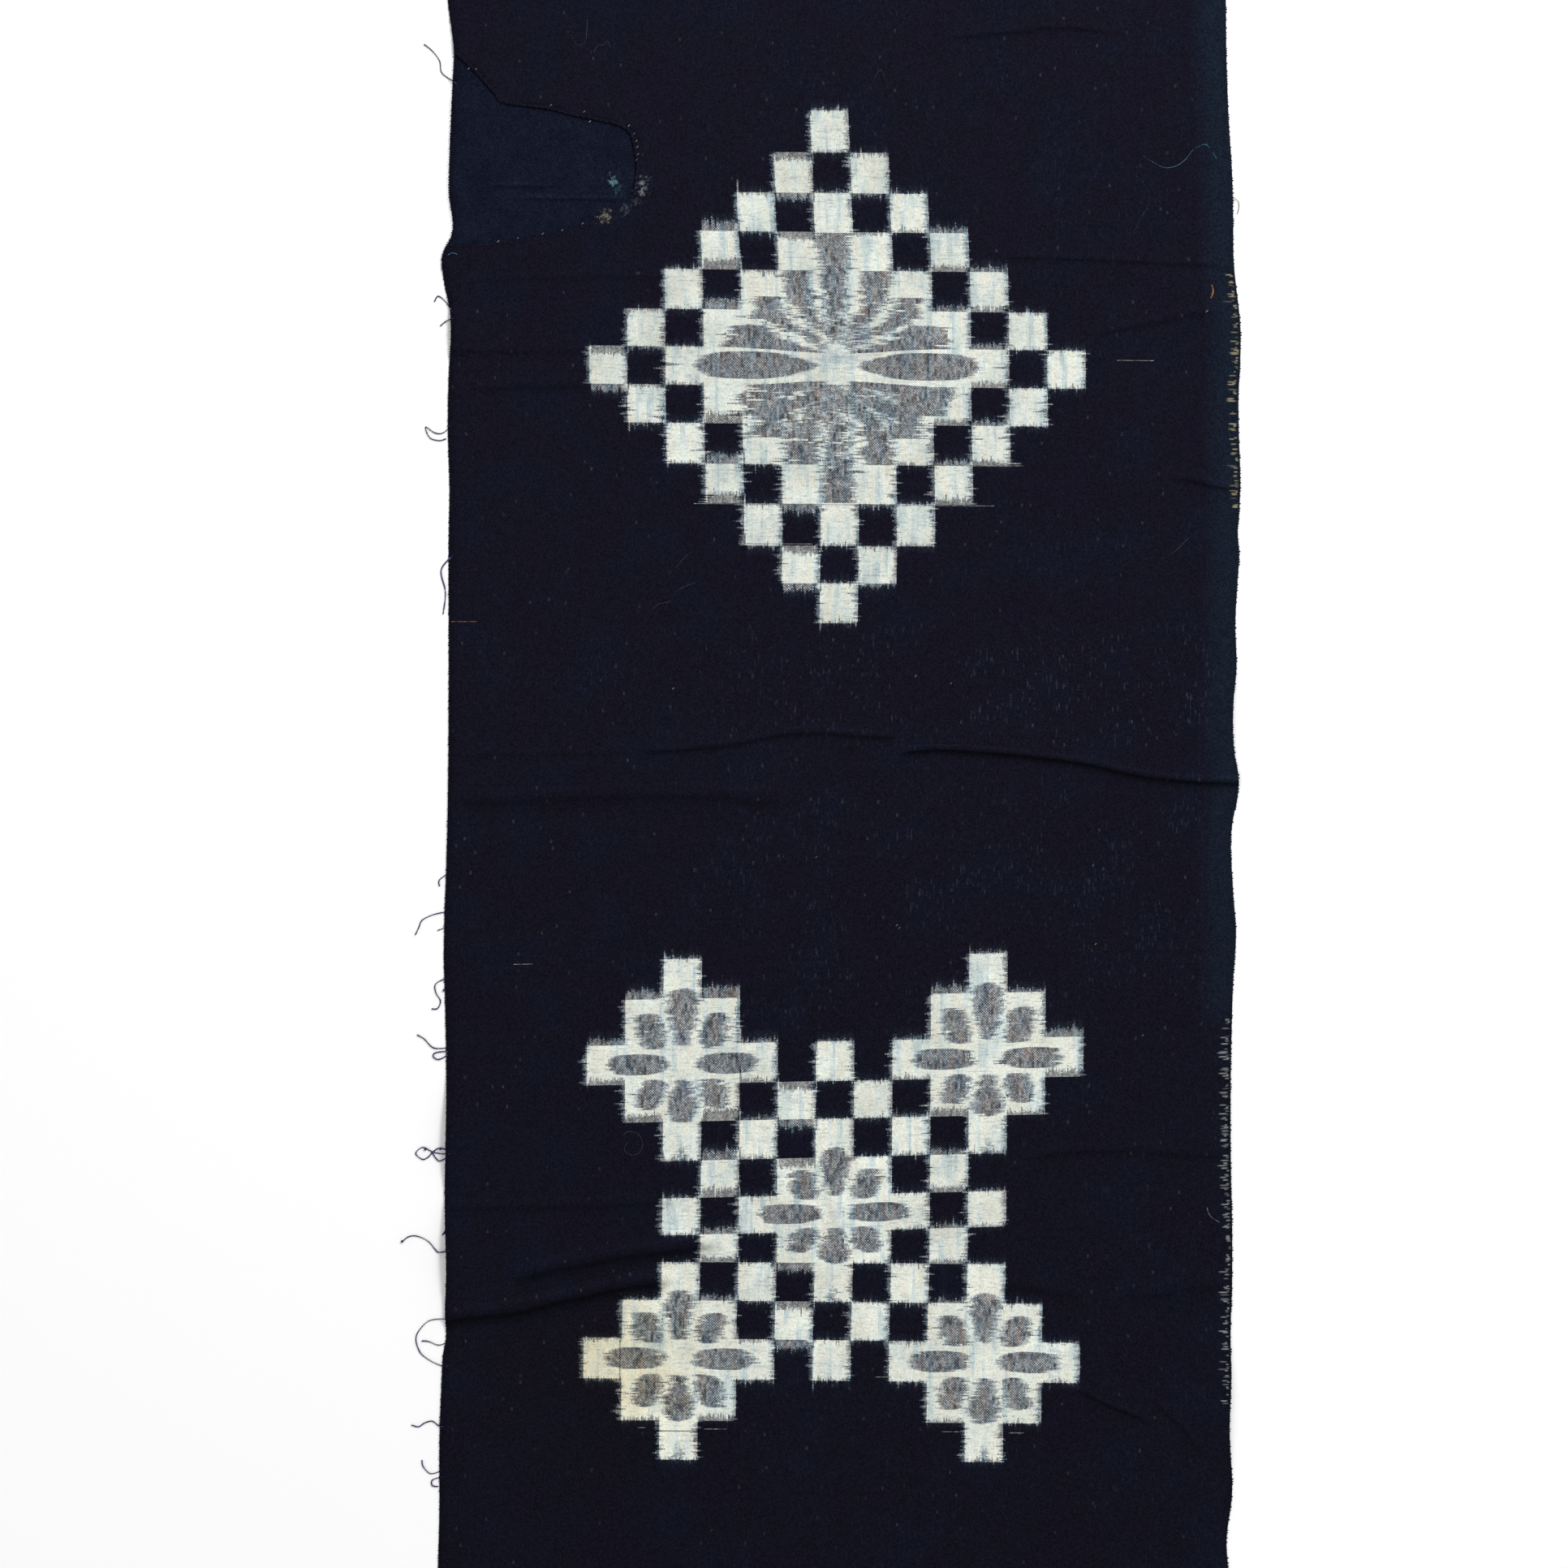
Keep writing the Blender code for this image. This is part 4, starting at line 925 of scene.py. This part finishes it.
    # painted shade on the creases' steep side, a soft band with a line in it, and a painted highlight on the
    # rise above
    crestAway, crestShare = [node("Attribute", out=2, attribute_name=name)
                             for name in ("crestAway", "crestShare")]
    crestShare = node("MINIMUM", crestShare, 1.5)
    for middle, reach, strength in plan["creaseShades"]:
        shade = node("MapRange", node("ABSOLUTE", node("SUBTRACT", crestAway, middle)), reach, 0.1 * reach,
                     0.0, strength, interpolation_type="SMOOTHSTEP")
        bright = node("MULTIPLY", bright, node("SUBTRACT", 1.0, node("MULTIPLY", shade, crestShare)))
    for markAcross, markDown, halfAcross, halfDown, strength in plan["darkMarks"]:
        inside = node("MULTIPLY", node("COMPARE", across, markAcross, halfAcross),
                      node("COMPARE", down, markDown, halfDown))
        bright = node("MULTIPLY", bright, node("MULTIPLY_ADD", inside, -strength, 1.0))
    face = node("Mix", at={0: 1.0, 6: face, 7: node("CombineXYZ", bright, bright, bright)}, **shadeMix)
    for markAcross, markDown, halfAcross, halfDown, strength in plan["seepMarks"]:
        away = node("VectorMath", node("CombineXYZ", node("DIVIDE", across, halfAcross),
                                       node("DIVIDE", down, halfDown)),
                    (markAcross / halfAcross, markDown / halfDown, 0.0), out=1, operation="DISTANCE")
        seepHere = node("MapRange", node("MULTIPLY_ADD", chances[0], 0.7, away), 1.6, 0.5, 0.0, strength)
        seepHere = node("MULTIPLY", seepHere, figureShow)
        face = node("Mix", at={0: seepHere, 6: face, 7: plan["seepDye"]}, **colourMix)

    # a yellowed stain on the lower left flower
    stainAway = node("VectorMath", node("CombineXYZ", column, row), plan["stainPlace"], out=1,
                     operation="DISTANCE")
    stain = node("MapRange", node("MULTIPLY_ADD", cloud, 0.8, stainAway), 4.0, 0.7, 0.0, 0.85,
                 interpolation_type="SMOOTHSTEP")
    face = node("Mix", at={0: stain, 6: face, 7: plan["stain"]}, **shadeMix)

    # undyed ends of picks at the right selvedge, in two stretches: uneven groups of short dashes
    picks = node("SeparateXYZ", node("TexWhiteNoise", at={"W": node("ADD", weft, 0.5)}, out=1,
                                     noise_dimensions="1D"), out=None).outputs
    bunch = node("TexNoise", at={"W": node("MULTIPLY", weft, 0.3), "Scale": 1.0, "Detail": 1.0},
                 noise_dimensions="1D")
    present = node("LESS_THAN", picks[0], node("MapRange", bunch, 0.40, 0.60, 0.05, 0.9))
    halfDash = node("MULTIPLY_ADD", node("POWER", picks[1], 2.0), 2.0, 0.6)
    dashStart = node("MULTIPLY_ADD", picks[0], 1.6, 0.4)
    fromDash = node("SUBTRACT", node("SUBTRACT", fromRight, dashStart), halfDash)
    inDash = node("DIVIDE", node("ABSOLUTE", fromDash), halfDash)
    dash = node("MULTIPLY", node("MULTIPLY", node("MapRange", inDash, 1.0, 0.4), present),
                node("MULTIPLY_ADD", picks[2], 0.6, 0.12))
    for middle, half, code in plan["dashes"]:
        here = node("MULTIPLY", dash, node("COMPARE", down, middle, half))
        face = node("Mix", at={0: here, 6: face, 7: code}, **colourMix)

    # relief of the weave, with the yarns' unevenness
    relief = node("ADD", node("MULTIPLY", node("ADD", offWarp, offWeft), -0.5),
                  node("MULTIPLY", node("ADD", warpTop, chances[2]), 0.35))
    return finishMaterial(material, wornSpots(node, face), relief, bump=0.35, depth=0.12, roughness=0.92,
                          specular=0.04)


def wornSpots(node, colour):
    # indigo worn through to the pale core of the yarns, in small frayed spots beside the mend's seam
    place = node("TexCoord", out=3)
    fray = node("TexNoise", place, at={"Scale": 620.0, "Detail": 3.0, "Roughness": 0.8})
    for spot, reach, strength, code in mendPlan["wornSpots"]:
        away = node("VectorMath", place, tuple(c * mm for c in spot), out=1, operation="DISTANCE")
        worn = node("MULTIPLY_ADD", away, -0.2 / (reach * mm), fray)
        worn = node("MapRange", worn, 0.39, 0.56, 0.0, strength)
        colour = node("Mix", at={0: worn, 6: colour, 7: code}, **colourMix)
    return colour


def makePlainCotton():
    # plain indigo cotton: an even tabby, a little bluer and finer than the cloth it mends
    material, node = newMaterial("plainIndigoCotton")
    plan = mendPlan
    across, down, (warp, weft), (offWarp, offWeft), parity = yarnGrid(node, plan["yarnPitch"])
    grain = node("TexWhiteNoise", node("CombineXYZ", warp, weft), noise_dimensions="2D")
    cloud = node("TexNoise", node("CombineXYZ", across, down), noise_dimensions="2D",
                 at={"Scale": 0.09, "Detail": 4.0, "Roughness": 0.7})
    colour = node("ValToRGB", cloud, stops=plan["indigoStops"])
    # painted shadow of the lip on the patch beside the bite
    lipAway = node("Attribute", out=2, attribute_name="lipAway")
    shade = node("MapRange", lipAway, 0.2, 1.4, 0.5, 1.0, interpolation_type="SMOOTHSTEP")
    bright = node("MULTIPLY", node("MULTIPLY_ADD", grain, 0.9, 0.55), shade)
    # two pressed folds across it, painted as a pale highlight above and painted shade below
    for middle, half, level in plan["folds"]:
        along = node("MapRange", node("ABSOLUTE", node("SUBTRACT", across, middle)), half, half - 9.0)
        for below, strength in ((-0.8, -0.35), (0.9, 0.3)):
            shade = node("MapRange", node("ABSOLUTE", node("SUBTRACT", down, level + below)), 1.2, 0.2, 0.0,
                         strength, interpolation_type="SMOOTHSTEP")
            bright = node("MULTIPLY", bright, node("SUBTRACT", 1.0, node("MULTIPLY", shade, along)))
    colour = node("Mix", at={0: 1.0, 6: colour, 7: node("CombineXYZ", bright, bright, bright)}, **shadeMix)
    relief = node("MULTIPLY", node("ADD", node("ADD", offWarp, offWeft), parity), 0.4)
    return finishMaterial(material, wornSpots(node, colour), relief, bump=0.3, depth=0.1, roughness=0.92,
                          specular=0.04)


def makeThreadCotton(name, dark, light):
    # spun cotton thread: matt, with a little fuzz that pales its colour here and there
    material, node = newMaterial(name)
    fuzz = node("TexNoise", node("TexCoord", out=3), at={"Scale": 700.0, "Detail": 3.0, "Roughness": 0.7})
    colour = node("ValToRGB", fuzz, stops=[(0.35, dark), (0.68, light)])
    return finishMaterial(material, colour, fuzz, bump=0.5, depth=0.1, roughness=0.85, specular=0.15)


# node trees for what repeats

def finishTree(tree, result, made, material):
    # smooth, real geometry with its material
    smooth = addNode(tree, "GeometryNodeSetShadeSmooth", made)
    real = addNode(tree, "GeometryNodeRealizeInstances", smooth)
    tree.links.new(addNode(tree, "GeometryNodeSetMaterial", real, None, material), result)
    return tree


def makePlyThread():
    # a thread of two plies round a path: an oval section that turns along the path
    tree, node, (path, width, turn, material), result = newGroup("plyThread", "Geometry", {
        "path": "Geometry", "width": "Float", "turn": "Float", "material": "Material"}, "thread", "Geometry")
    length = node("GeometryNodeSplineParameter", out=1)
    tilt = node("DIVIDE", node("MULTIPLY", length, math.tau), turn)
    turned = node("GeometryNodeSetCurveTilt", path, None, tilt)
    circle = node("GeometryNodeCurvePrimitiveCircle", 6, at={4: node("MULTIPLY", width, 0.5)})
    oval = node("GeometryNodeTransform", circle, at={"Scale": (1.0, 0.72, 1.0)})
    tube = node("GeometryNodeCurveToMesh", turned, oval, at={"Fill Caps": True})
    return finishTree(tree, result, tube, material)


# a random vector between two others
randomVector = {"kind": "FunctionNodeRandomValue", "data_type": "FLOAT_VECTOR"}


def makeEdgeLoops():
    # picks turning back at a selvedge: a small rounded loop at each, uneven in size and place
    tree, node, (path, pitch, size, seed, material), result = newGroup("edgeLoops", "Geometry", {
        "path": "Geometry", "pitch": "Float", "size": "Float", "seed": "Int", "material": "Material"},
        "loops", "Geometry")
    spaced = node("GeometryNodeResampleCurve", path, at={"Length": pitch}, mode="LENGTH")
    loop = node("GeometryNodeMeshIcoSphere", 0.5, 1)
    uneven, stray = [node(**randomVector, at={0: low, 1: high, "Seed": seed}) for low, high in (
        ((0.7, 0.7, 0.6), (1.35, 1.5, 0.95)), ((-0.00028, -0.0002, 0.0), (0.00028, 0.0002, 0.0001)))]
    scaled = node("VectorMath", uneven, at={3: size}, operation="SCALE")
    made = node("GeometryNodeInstanceOnPoints", spaced, None, loop, at={"Scale": scaled})
    moved = node("GeometryNodeTranslateInstances", made, None, stray, False)
    return finishTree(tree, result, moved, material)


def makeYarnEnds():
    # cut yarn ends standing out of a path, uneven in length and lean
    tree, node, (path, pitch, length, width, turn, seed, material), result = newGroup("yarnEnds",
    "Geometry", {
        "path": "Geometry", "pitch": "Float", "length": "Float", "width": "Float", "turn": "Float",
        "seed": "Int", "material": "Material"}, "ends", "Geometry")
    spaced = node("GeometryNodeResampleCurve", path, at={"Length": pitch}, mode="LENGTH")
    cone = node("GeometryNodeMeshCone", 5, at={"Radius Top": 0.35, "Radius Bottom": 0.5, "Depth": 1.0})
    stretch, lean = [node(**randomVector, at={0: low, 1: high, "Seed": seed}) for low, high in (
        ((0.8, 0.8, 0.4), (1.2, 1.2, 1.5)), ((-0.06, 0.0, -0.5), (0.06, 0.0, 0.5)))]
    scale = node("VectorMath", node("CombineXYZ", width, width, length), stretch, operation="MULTIPLY")
    angle = node("VectorMath", lean, node("CombineXYZ", turn), operation="ADD")
    made = node("GeometryNodeInstanceOnPoints", spaced, None, cone, at={"Rotation": angle, "Scale": scale})
    return finishTree(tree, result, made, material)


def makeHemStitches():
    # whip stitches over the lip: short rounded threads laid across a path, slightly uneven
    tree, node, (path, spacing, length, width, seed, material), result = newGroup("hemStitches", "Geometry", {
        "path": "Geometry", "spacing": "Float", "length": "Float", "width": "Float", "seed": "Int",
        "material": "Material"}, "stitches", "Geometry")
    spaced = node("GeometryNodeCurveToPoints", path, at={"Length": spacing}, mode="LENGTH", out=None)
    bead = node("GeometryNodeMeshIcoSphere", 0.5, 2)
    stretch, lean = [node(**randomVector, at={0: low, 1: high, "Seed": seed}) for low, high in (
        ((0.7, 0.8, 0.8), (1.3, 1.2, 1.1)), ((0.0, 0.0, 0.1), (0.0, 0.0, 0.9)))]
    scale = node("VectorMath", node("CombineXYZ", length, width, width), stretch, operation="MULTIPLY")
    tangent = node("FunctionNodeAlignRotationToVector", at={"Vector": spaced.outputs[1]}, axis="Y")
    made = node("GeometryNodeInstanceOnPoints", spaced.outputs[0], None, bead,
                at={"Rotation": tangent, "Scale": scale})
    return finishTree(tree, result, node("GeometryNodeRotateInstances", made, None, lean), material)


def nodesPiece(name, routes, tree, **values):
    # a piece made by a node tree along routes in millimetres, as a plain mesh
    curve = bpy.data.curves.new(name, "CURVE")
    curve.dimensions = "3D"
    for route in routes:
        spline = curve.splines.new("POLY")
        spline.points.add(len(route) - 1)
        for point, place in zip(spline.points, route):
            point.co = (*[float(c) * mm for c in place], 1.0)
    piece = bpy.data.objects.new(name, curve)
    bpy.context.scene.collection.objects.link(piece)
    made = piece.modifiers.new("made", "NODES")
    made.node_group = tree
    identifiers = {item.name: item.identifier for item in tree.interface.items_tree
                   if item.in_out == "INPUT"}
    for key, value in values.items():
        made[identifiers[key]] = value
    return bakeModifiers(piece)


threadPlan = {
    "width": 0.7,
    "turn": 1.9,
    # tails at the left edge, as in the solids: each starts in the edge and lies on the floor
    "tails": [
        [(-157.0, 302.0), (-160, 304), (-163.5, 307), (-164.3, 312), (-167.7, 316.4), (-171, 319)],
        [(-158.2, 203), (-161.7, 208), (-164.9, 210.4), (-166.5, 208)],
        [(-158.2, 200.5), (-161.5, 199.5), (-164, 197.5)],
        [(-158.8, 155.6), (-162.4, 151.6), (-166.3, 151.4), (-170.3, 154), (-168.6, 149.4), (-164.5, 148.1),
         (-161.5, 148.9)],
        [(-158.5, 98.6), (-163.6, 92.4), (-161.9, 84), (-161.9, 79.5), (-162.8, 73.2)],
        [(-159.5, -38), (-164.3, -41.3), (-164.3, -44.1)],
        [(-160.2, -55), (-164, -55.6), (-168, -56.7), (-171.9, -58.8), (-173.3, -62), (-174.8, -65.1)],
        [(-160.2, -61.4), (-165.2, -63.2)],
        [(-160.5, -83.5), (-165.9, -86.1), (-165.9, -90), (-163.9, -93.6), (-165.2, -96.8), (-167.7, -97)],
        [(-159.6, -113.6), (-165.2, -114.1), (-168, -113.1), (-171, -109.9), (-174, -108.2)],
        [(-159.4, -159.2), (-164, -159.4), (-167.8, -158.4), (-171.6, -156.7), (-174.6, -159.3),
        (-171.6, -161.9), (-169.0, -160.8)],
        [(-159.8, -200.6), (-164.5, -202), (-166.3, -200.6), (-169.2, -197.2), (-174, -195), (-177.8, -195.3),
         (-180.7, -197.8)],
        [(-159.8, -230.8), (-164.5, -230.7), (-169.2, -231.7), (-173.1, -235.6), (-174.5, -239.1),
        (-173.7, -243), (-171.9, -246.1), (-168, -248.9), (-163.6, -250.8), (-160.6, -251)],
        [(-159.8, -240.2), (-164.5, -242), (-169.1, -240.4), (-172, -240.2)],
        [(-162.6, -277.2), (-164.6, -276.8), (-167.5, -274.8), (-170.8, -275.6), (-173.3, -277.2),
        (-176.4, -276.5)],
        [(-162.8, -295.8), (-168, -297.5), (-171.3, -294.5), (-171.9, -291.6)],
        [(-162.8, -298.6), (-167.4, -300.2), (-167.4, -302.6), (-164.9, -303)]],
    # curls of the same threads that lie beside the tails, and their knots
    "curls": [
        [(-160.8, -115.4), (-164.0, -115.5), (-166.6, -116.2), (-167.0, -117.6), (-165.2, -118.8),
        (-163.0, -118.2), (-160.8, -116.8)],
        [(-169.0, -160.8), (-167.4, -158.9), (-165.0, -157.2), (-162.6, -157.4), (-160.2, -158.6)],
        [(-167.6, -158.6), (-166.0, -161.2), (-164.2, -162.6), (-161.4, -161.2)],
        [(-159.6, -193.4), (-161.6, -193.0), (-163.2, -194.6)]],
    "knots": [(-162.4, -88.9), (-170.4, -157.5), (-163.9, -157.3), (-162.0, -193.3), (-180.4, -197.2)],
    # threads and hairs on the face
    "tealThreads": [
        [(139.3, 270.9), (143.9, 267.8), (148.8, 265.7), (153.7, 266.7), (157.5, 269.5), (160.7, 273.4),
         (165.6, 275.8), (168.4, 273.4), (170.8, 269.5)],
        [(-160.6, 228.0), (-158.8, 228.9), (-156.6, 228.3)]],
    "redThread": [[(177.2, 253.4), (178.6, 252.4), (180.3, 251), (180.4, 248.2), (179.7, 245.7)]],
    "paleThread": [[(166.6, -182.7), (168, -186.2), (171.9, -189)]],
    "slub": [[(168.6, 215.2), (169.3, 212.8), (168.8, 210.6), (168.2, 209.4)]],
    "hairs": [
        [(-107.5, 323.4), (-105.4, 319.2), (-103.3, 318.9), (-101.2, 321), (-100.5, 331.1)],
        [(-97.7, 315.4), (-96.3, 318.2), (-93.5, 318.9), (-91.7, 320.3), (-90.7, 317.5)],
        [(21.7, 299.6), (23.5, 304.9), (25.6, 308), (27.3, 305.9), (29.1, 300.3)],
        [(147.4, 97), (152.5, 100.1), (159.3, 106.8)],
        [(-72.5, 75.6), (-69.7, 77.7), (-65.1, 78.8), (-61.6, 83.3), (-58.1, 85.4), (-53.9, 86.8)],
        [(-62.3, 93.1), (-59.8, 96.6), (-57.1, 99.0)],
        [(-85, -151.2), (-82.3, -149.8), (-78.4, -151.2), (-76.7, -155.1), (-78.1, -158.9), (-81.6, -160),
         (-84.4, -157.9), (-83.7, -154.7)],
        [(135.1, 237.3), (137.9, 243.6), (141.8, 250.6), (140.4, 257.6), (135.8, 262.5)]],
    # picks whose dye strayed far, as pale streaks: from x, to x, y at the middle warp
    "streaks": [(-54.6, 74.9, 120.4), (53.9, 87.2, 137.9), (-35.4, -3.9, 103.4), (127.8, 144.2, 184.0),
                (-78.8, -76.3, -278.2), (-50.1, -40.3, -278.6), (52.5, 60.6, -278.9), (81.2, 87.9, -279.2),
                (23.8, 29.8, -255.5), (-132.3, -124.6, -75.2)],
    "redStreaks": [(-159.3, -148.8, 69.8)],
    "specks": [(166.3, 203.7), (166.7, 203.9), (-1.8, -31.5), (32.9, -60.9), (34.0, -62.0), (118.6, -69.0),
               (41.0, 46.6), (56.3, 43.4), (117.6, -35.0), (-63.5, 41.2), (139.0, -108.4)]}

edgePlan = {"loopPitch": 1.1, "loopSize": 0.6, "endPitch": 0.55, "endLength": 1.5, "endWidth": 0.34}

stitchPlan = {
    "spacing": 2.6,
    "length": 1.5,
    "width": 0.34,
    # stitches whose thread is pale: along the lower side, the fuzzy upright side and the top
    "pale": [(-138.9, 233.9), (-130.5, 235.3), (-119.7, 237.2), (-111.3, 238.7), (-102.5, 241.6),
             (-96.3, 244.4), (-92.4, 245.2), (-90.3, 247.0), (-82.6, 283.8), (-80.4, 280.3),
             (-79.3, 277.2), (-78.9, 274.6), (-78.7, 271.4), (-79.3, 269.0), (-151.6, 308.4),
             (-148.4, 308.2), (-116.2, 292.6), (-101.9, 289.8), (-99.4, 285.6)]}


def tailRoute(points):
    # out of the edge at mid-cloth height, then down to the floor
    flat = smoothRoute(points, 5)
    lying = threadPlan["width"] / 2 + 0.04
    root = max(float(clothUnder(*points[0])) + 0.2, lying)
    gone = np.cumsum(np.r_[0, np.hypot(*np.diff(flat, axis=0).T)])
    return np.column_stack([flat, lying + (root - lying) * smoothStep(5.0, 1.0, gone)])


def floorRoute(points, above):
    flat = smoothRoute(points, 5)
    return np.column_stack([flat, np.full(len(flat), above)])


def knotRoute(x, y):
    # a knot is a short thick piece of its thread
    return [(x - 0.3, y - 0.25, 0.6), (x, y, 0.68), (x + 0.3, y + 0.3, 0.6)]


def surfaceRoute(points, above):
    flat = smoothRoute(points, 6)
    return np.column_stack([flat, clothTop(flat[:, 0], flat[:, 1]) + above])


def streakRoute(start, end, level):
    x = np.arange(start, end + 1.0, 1.6)
    y = level + weftTiltAt(level) * (x - middleWarpAt(level))
    return np.column_stack([x, y, clothTop(x, y) + 0.01])


def sideRoute(edgeAt, inset):
    half = clothPlan["length"] / 2 - 0.5
    y = np.arange(-half, half, 2.0)
    x = edgeAt(y) + inset
    return np.column_stack([x, y, clothUnder(x, y) + 0.2])


def endRoute(y, inset):
    x = np.arange(float(leftAt(y)) + 0.5, float(rightAt(y)), 3.0)
    return np.column_stack([x, np.full(len(x), y + inset), clothUnder(x, np.full(len(x), y)) + 0.21])


def stitchRoute(x, y):
    # one short piece of path over the lip
    z = float(clothTop(x, y))
    return [(x - 0.3, y - 0.35, z + 0.02), (x, y, z + 0.10), (x + 0.3, y + 0.35, z + 0.02)]


# the pieces

ikatCotton = makeIkatCotton()
plainCotton = makePlainCotton()
indigoYarn = makeThreadCotton("indigoCottonYarn", "0d0e1a", "20202f")
sewingThread = makeThreadCotton("indigoSewingThread", "20163a", "5b4580")
tealThread = makeThreadCotton("tealSewingThread", "1c4258", "5f95ad")
redThread = makeThreadCotton("redBrownThread", "4a1e22", "9a5a4c")
clearPick = makeThreadCotton("clearCottonPick", "343843", "a3a299")
lintFibre = makeThreadCotton("cottonLint", "2c3140", "525867")
rustFibre = makeThreadCotton("rustCottonSlub", "5a3d2a", "946844")
print("materials made")

clothSheet = makeClothSheet(ikatCotton)
mendHem = makeMendHem(ikatCotton)
mendPatch = makeMendPatch(plainCotton)
print("cloth, hem and patch made")

plyThread, edgeLoops, yarnEnds, hemStitches = [
    make() for make in (makePlyThread, makeEdgeLoops, makeYarnEnds, makeHemStitches)]
threads = {}
sewn = threadPlan["width"]
for pieceName, routes, width, material in (
        ("threadTails", [tailRoute(p) for p in threadPlan["tails"]], sewn, sewingThread),
        ("threadCurls", [floorRoute(p, 0.5) for p in threadPlan["curls"]], sewn, sewingThread),
        ("threadKnots", [knotRoute(*p) for p in threadPlan["knots"]], 1.25, sewingThread),
        ("tealFaceThreads", [surfaceRoute(p, 0.14) for p in threadPlan["tealThreads"]], 0.34, tealThread),
        ("redEdgeThread", [surfaceRoute(p, 0.05) for p in threadPlan["redThread"]], 0.36, redThread),
        ("paleEdgeThread", [surfaceRoute(p, 0.12) for p in threadPlan["paleThread"]], 0.34, clearPick),
        ("lintSpecks", [stitchRoute(*p) for p in threadPlan["specks"]], 0.36, clearPick),
        ("rustSlub", [surfaceRoute(p, 0.1) for p in threadPlan["slub"]], 0.95, rustFibre),
        ("faceHairs", [surfaceRoute(p, 0.06) for p in threadPlan["hairs"]], 0.19, lintFibre),
        ("weftStreaks", [streakRoute(*s) for s in threadPlan["streaks"]], 0.3, clearPick),
        ("redWeftStreak", [streakRoute(*s) for s in threadPlan["redStreaks"]], 0.36, redThread),
        ("paleStitches", [stitchRoute(*p) for p in stitchPlan["pale"]], 0.42, clearPick)):
    threads[pieceName] = nodesPiece(pieceName, routes, plyThread, width=width * mm,
                                    turn=threadPlan["turn"] * mm, material=material)
print("threads made")

halfLength = clothPlan["length"] / 2
selvedgeLoops = nodesPiece("selvedgeLoops", [sideRoute(leftAt, 0.05), sideRoute(rightAt, -0.05)], edgeLoops,
                           pitch=edgePlan["loopPitch"] * mm, size=edgePlan["loopSize"] * mm, seed=3,
                           material=indigoYarn)
cutEnds = [nodesPiece(pieceName, [endRoute(y, inset)], yarnEnds, pitch=edgePlan["endPitch"] * mm,
                      length=edgePlan["endLength"] * mm, width=edgePlan["endWidth"] * mm, turn=turn,
                      seed=seed, material=indigoYarn)
           for pieceName, y, inset, turn, seed in (("topYarnEnds", halfLength, -0.4, -math.pi / 2, 5),
                                                   ("bottomYarnEnds", -halfLength, 0.4, math.pi / 2, 8))]
lipRoute = offsetLine(biteRoute, 0.3)[6:-6]
lipTop = clothTop(*offsetLine(biteRoute, 1.3)[6:-6].T) - 0.06
darkStitches = nodesPiece("hemStitches", [np.column_stack([lipRoute, lipTop])], hemStitches, seed=4,
                          **{name: stitchPlan[name] * mm for name in ("spacing", "length", "width")},
                          material=indigoYarn)
print("loops, yarn ends and stitches made")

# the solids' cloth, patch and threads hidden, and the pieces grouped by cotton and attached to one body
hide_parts("cloth")
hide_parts("mend_patch")
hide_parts("edge_threads")
slots = {"ikat_cotton": [clothSheet, mendHem, selvedgeLoops, *cutEnds], "patch_cotton": [mendPatch],
         "sewing_thread": [darkStitches, *threads.values()]}
for slotName, pieces in slots.items():
    for piece in pieces:
        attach(piece, "root")


# floor, light and camera

stagePlan = {
    "floorColour": "fafafa",
    "photoMiddle": (-15.75, 0.0),   # the middle of the photograph on the cloth
    "photoWidth": 676.2,            # what the photograph's frame spans there
    "lens": 85.0,
    "sky": 0.60,
    # name, place in metres, size, power
    "lamps": [("softKey", (1.0, 1.25, 1.7), 0.7, 33.0), ("softFill", (-1.6, -0.6, 1.8), 1.8, 8.3)]}


def makeStage():
    corners = [(-3, -3, 0), (3, -3, 0), (3, 3, 0), (-3, 3, 0)]
    floor = meshObject("floor", corners, [(0, 1, 2, 3)], smooth=False)
    paper = bpy.data.materials.new("paperBackdrop")
    paper.use_nodes = True
    shader = paper.node_tree.nodes["Principled BSDF"]
    shader.inputs["Base Color"].default_value = linearColour(stagePlan["floorColour"])
    shader.inputs["Roughness"].default_value = 0.9
    floor.data.materials.append(paper)
    world = bpy.data.worlds.new("studio")
    bpy.context.scene.world = world
    world.use_nodes = True
    world.node_tree.nodes["Background"].inputs[0].default_value = (1.0, 1.0, 1.0, 1.0)
    world.node_tree.nodes["Background"].inputs[1].default_value = stagePlan["sky"]
    for name, place, size, power in stagePlan["lamps"]:
        data = bpy.data.lights.new(name, "AREA")
        data.energy = power
        data.size = size
        lamp = bpy.data.objects.new(name, data)
        lamp.location = place
        lamp.rotation_euler = (-Vector(place)).to_track_quat("-Z", "Y").to_euler()
        bpy.context.scene.collection.objects.link(lamp)
    data = bpy.data.cameras.new("photoCamera")
    data.lens = stagePlan["lens"]
    data.sensor_width = 36.0
    camera = bpy.data.objects.new("photoCamera", data)
    distance = stagePlan["photoWidth"] * data.lens / data.sensor_width
    middleX, middleY = stagePlan["photoMiddle"]
    camera.location = (middleX * mm, middleY * mm, (distance + 0.5) * mm)
    bpy.context.scene.collection.objects.link(camera)
    bpy.context.scene.camera = camera
    bpy.context.scene.view_settings.view_transform = "Standard"


makeStage()
print("stage made")
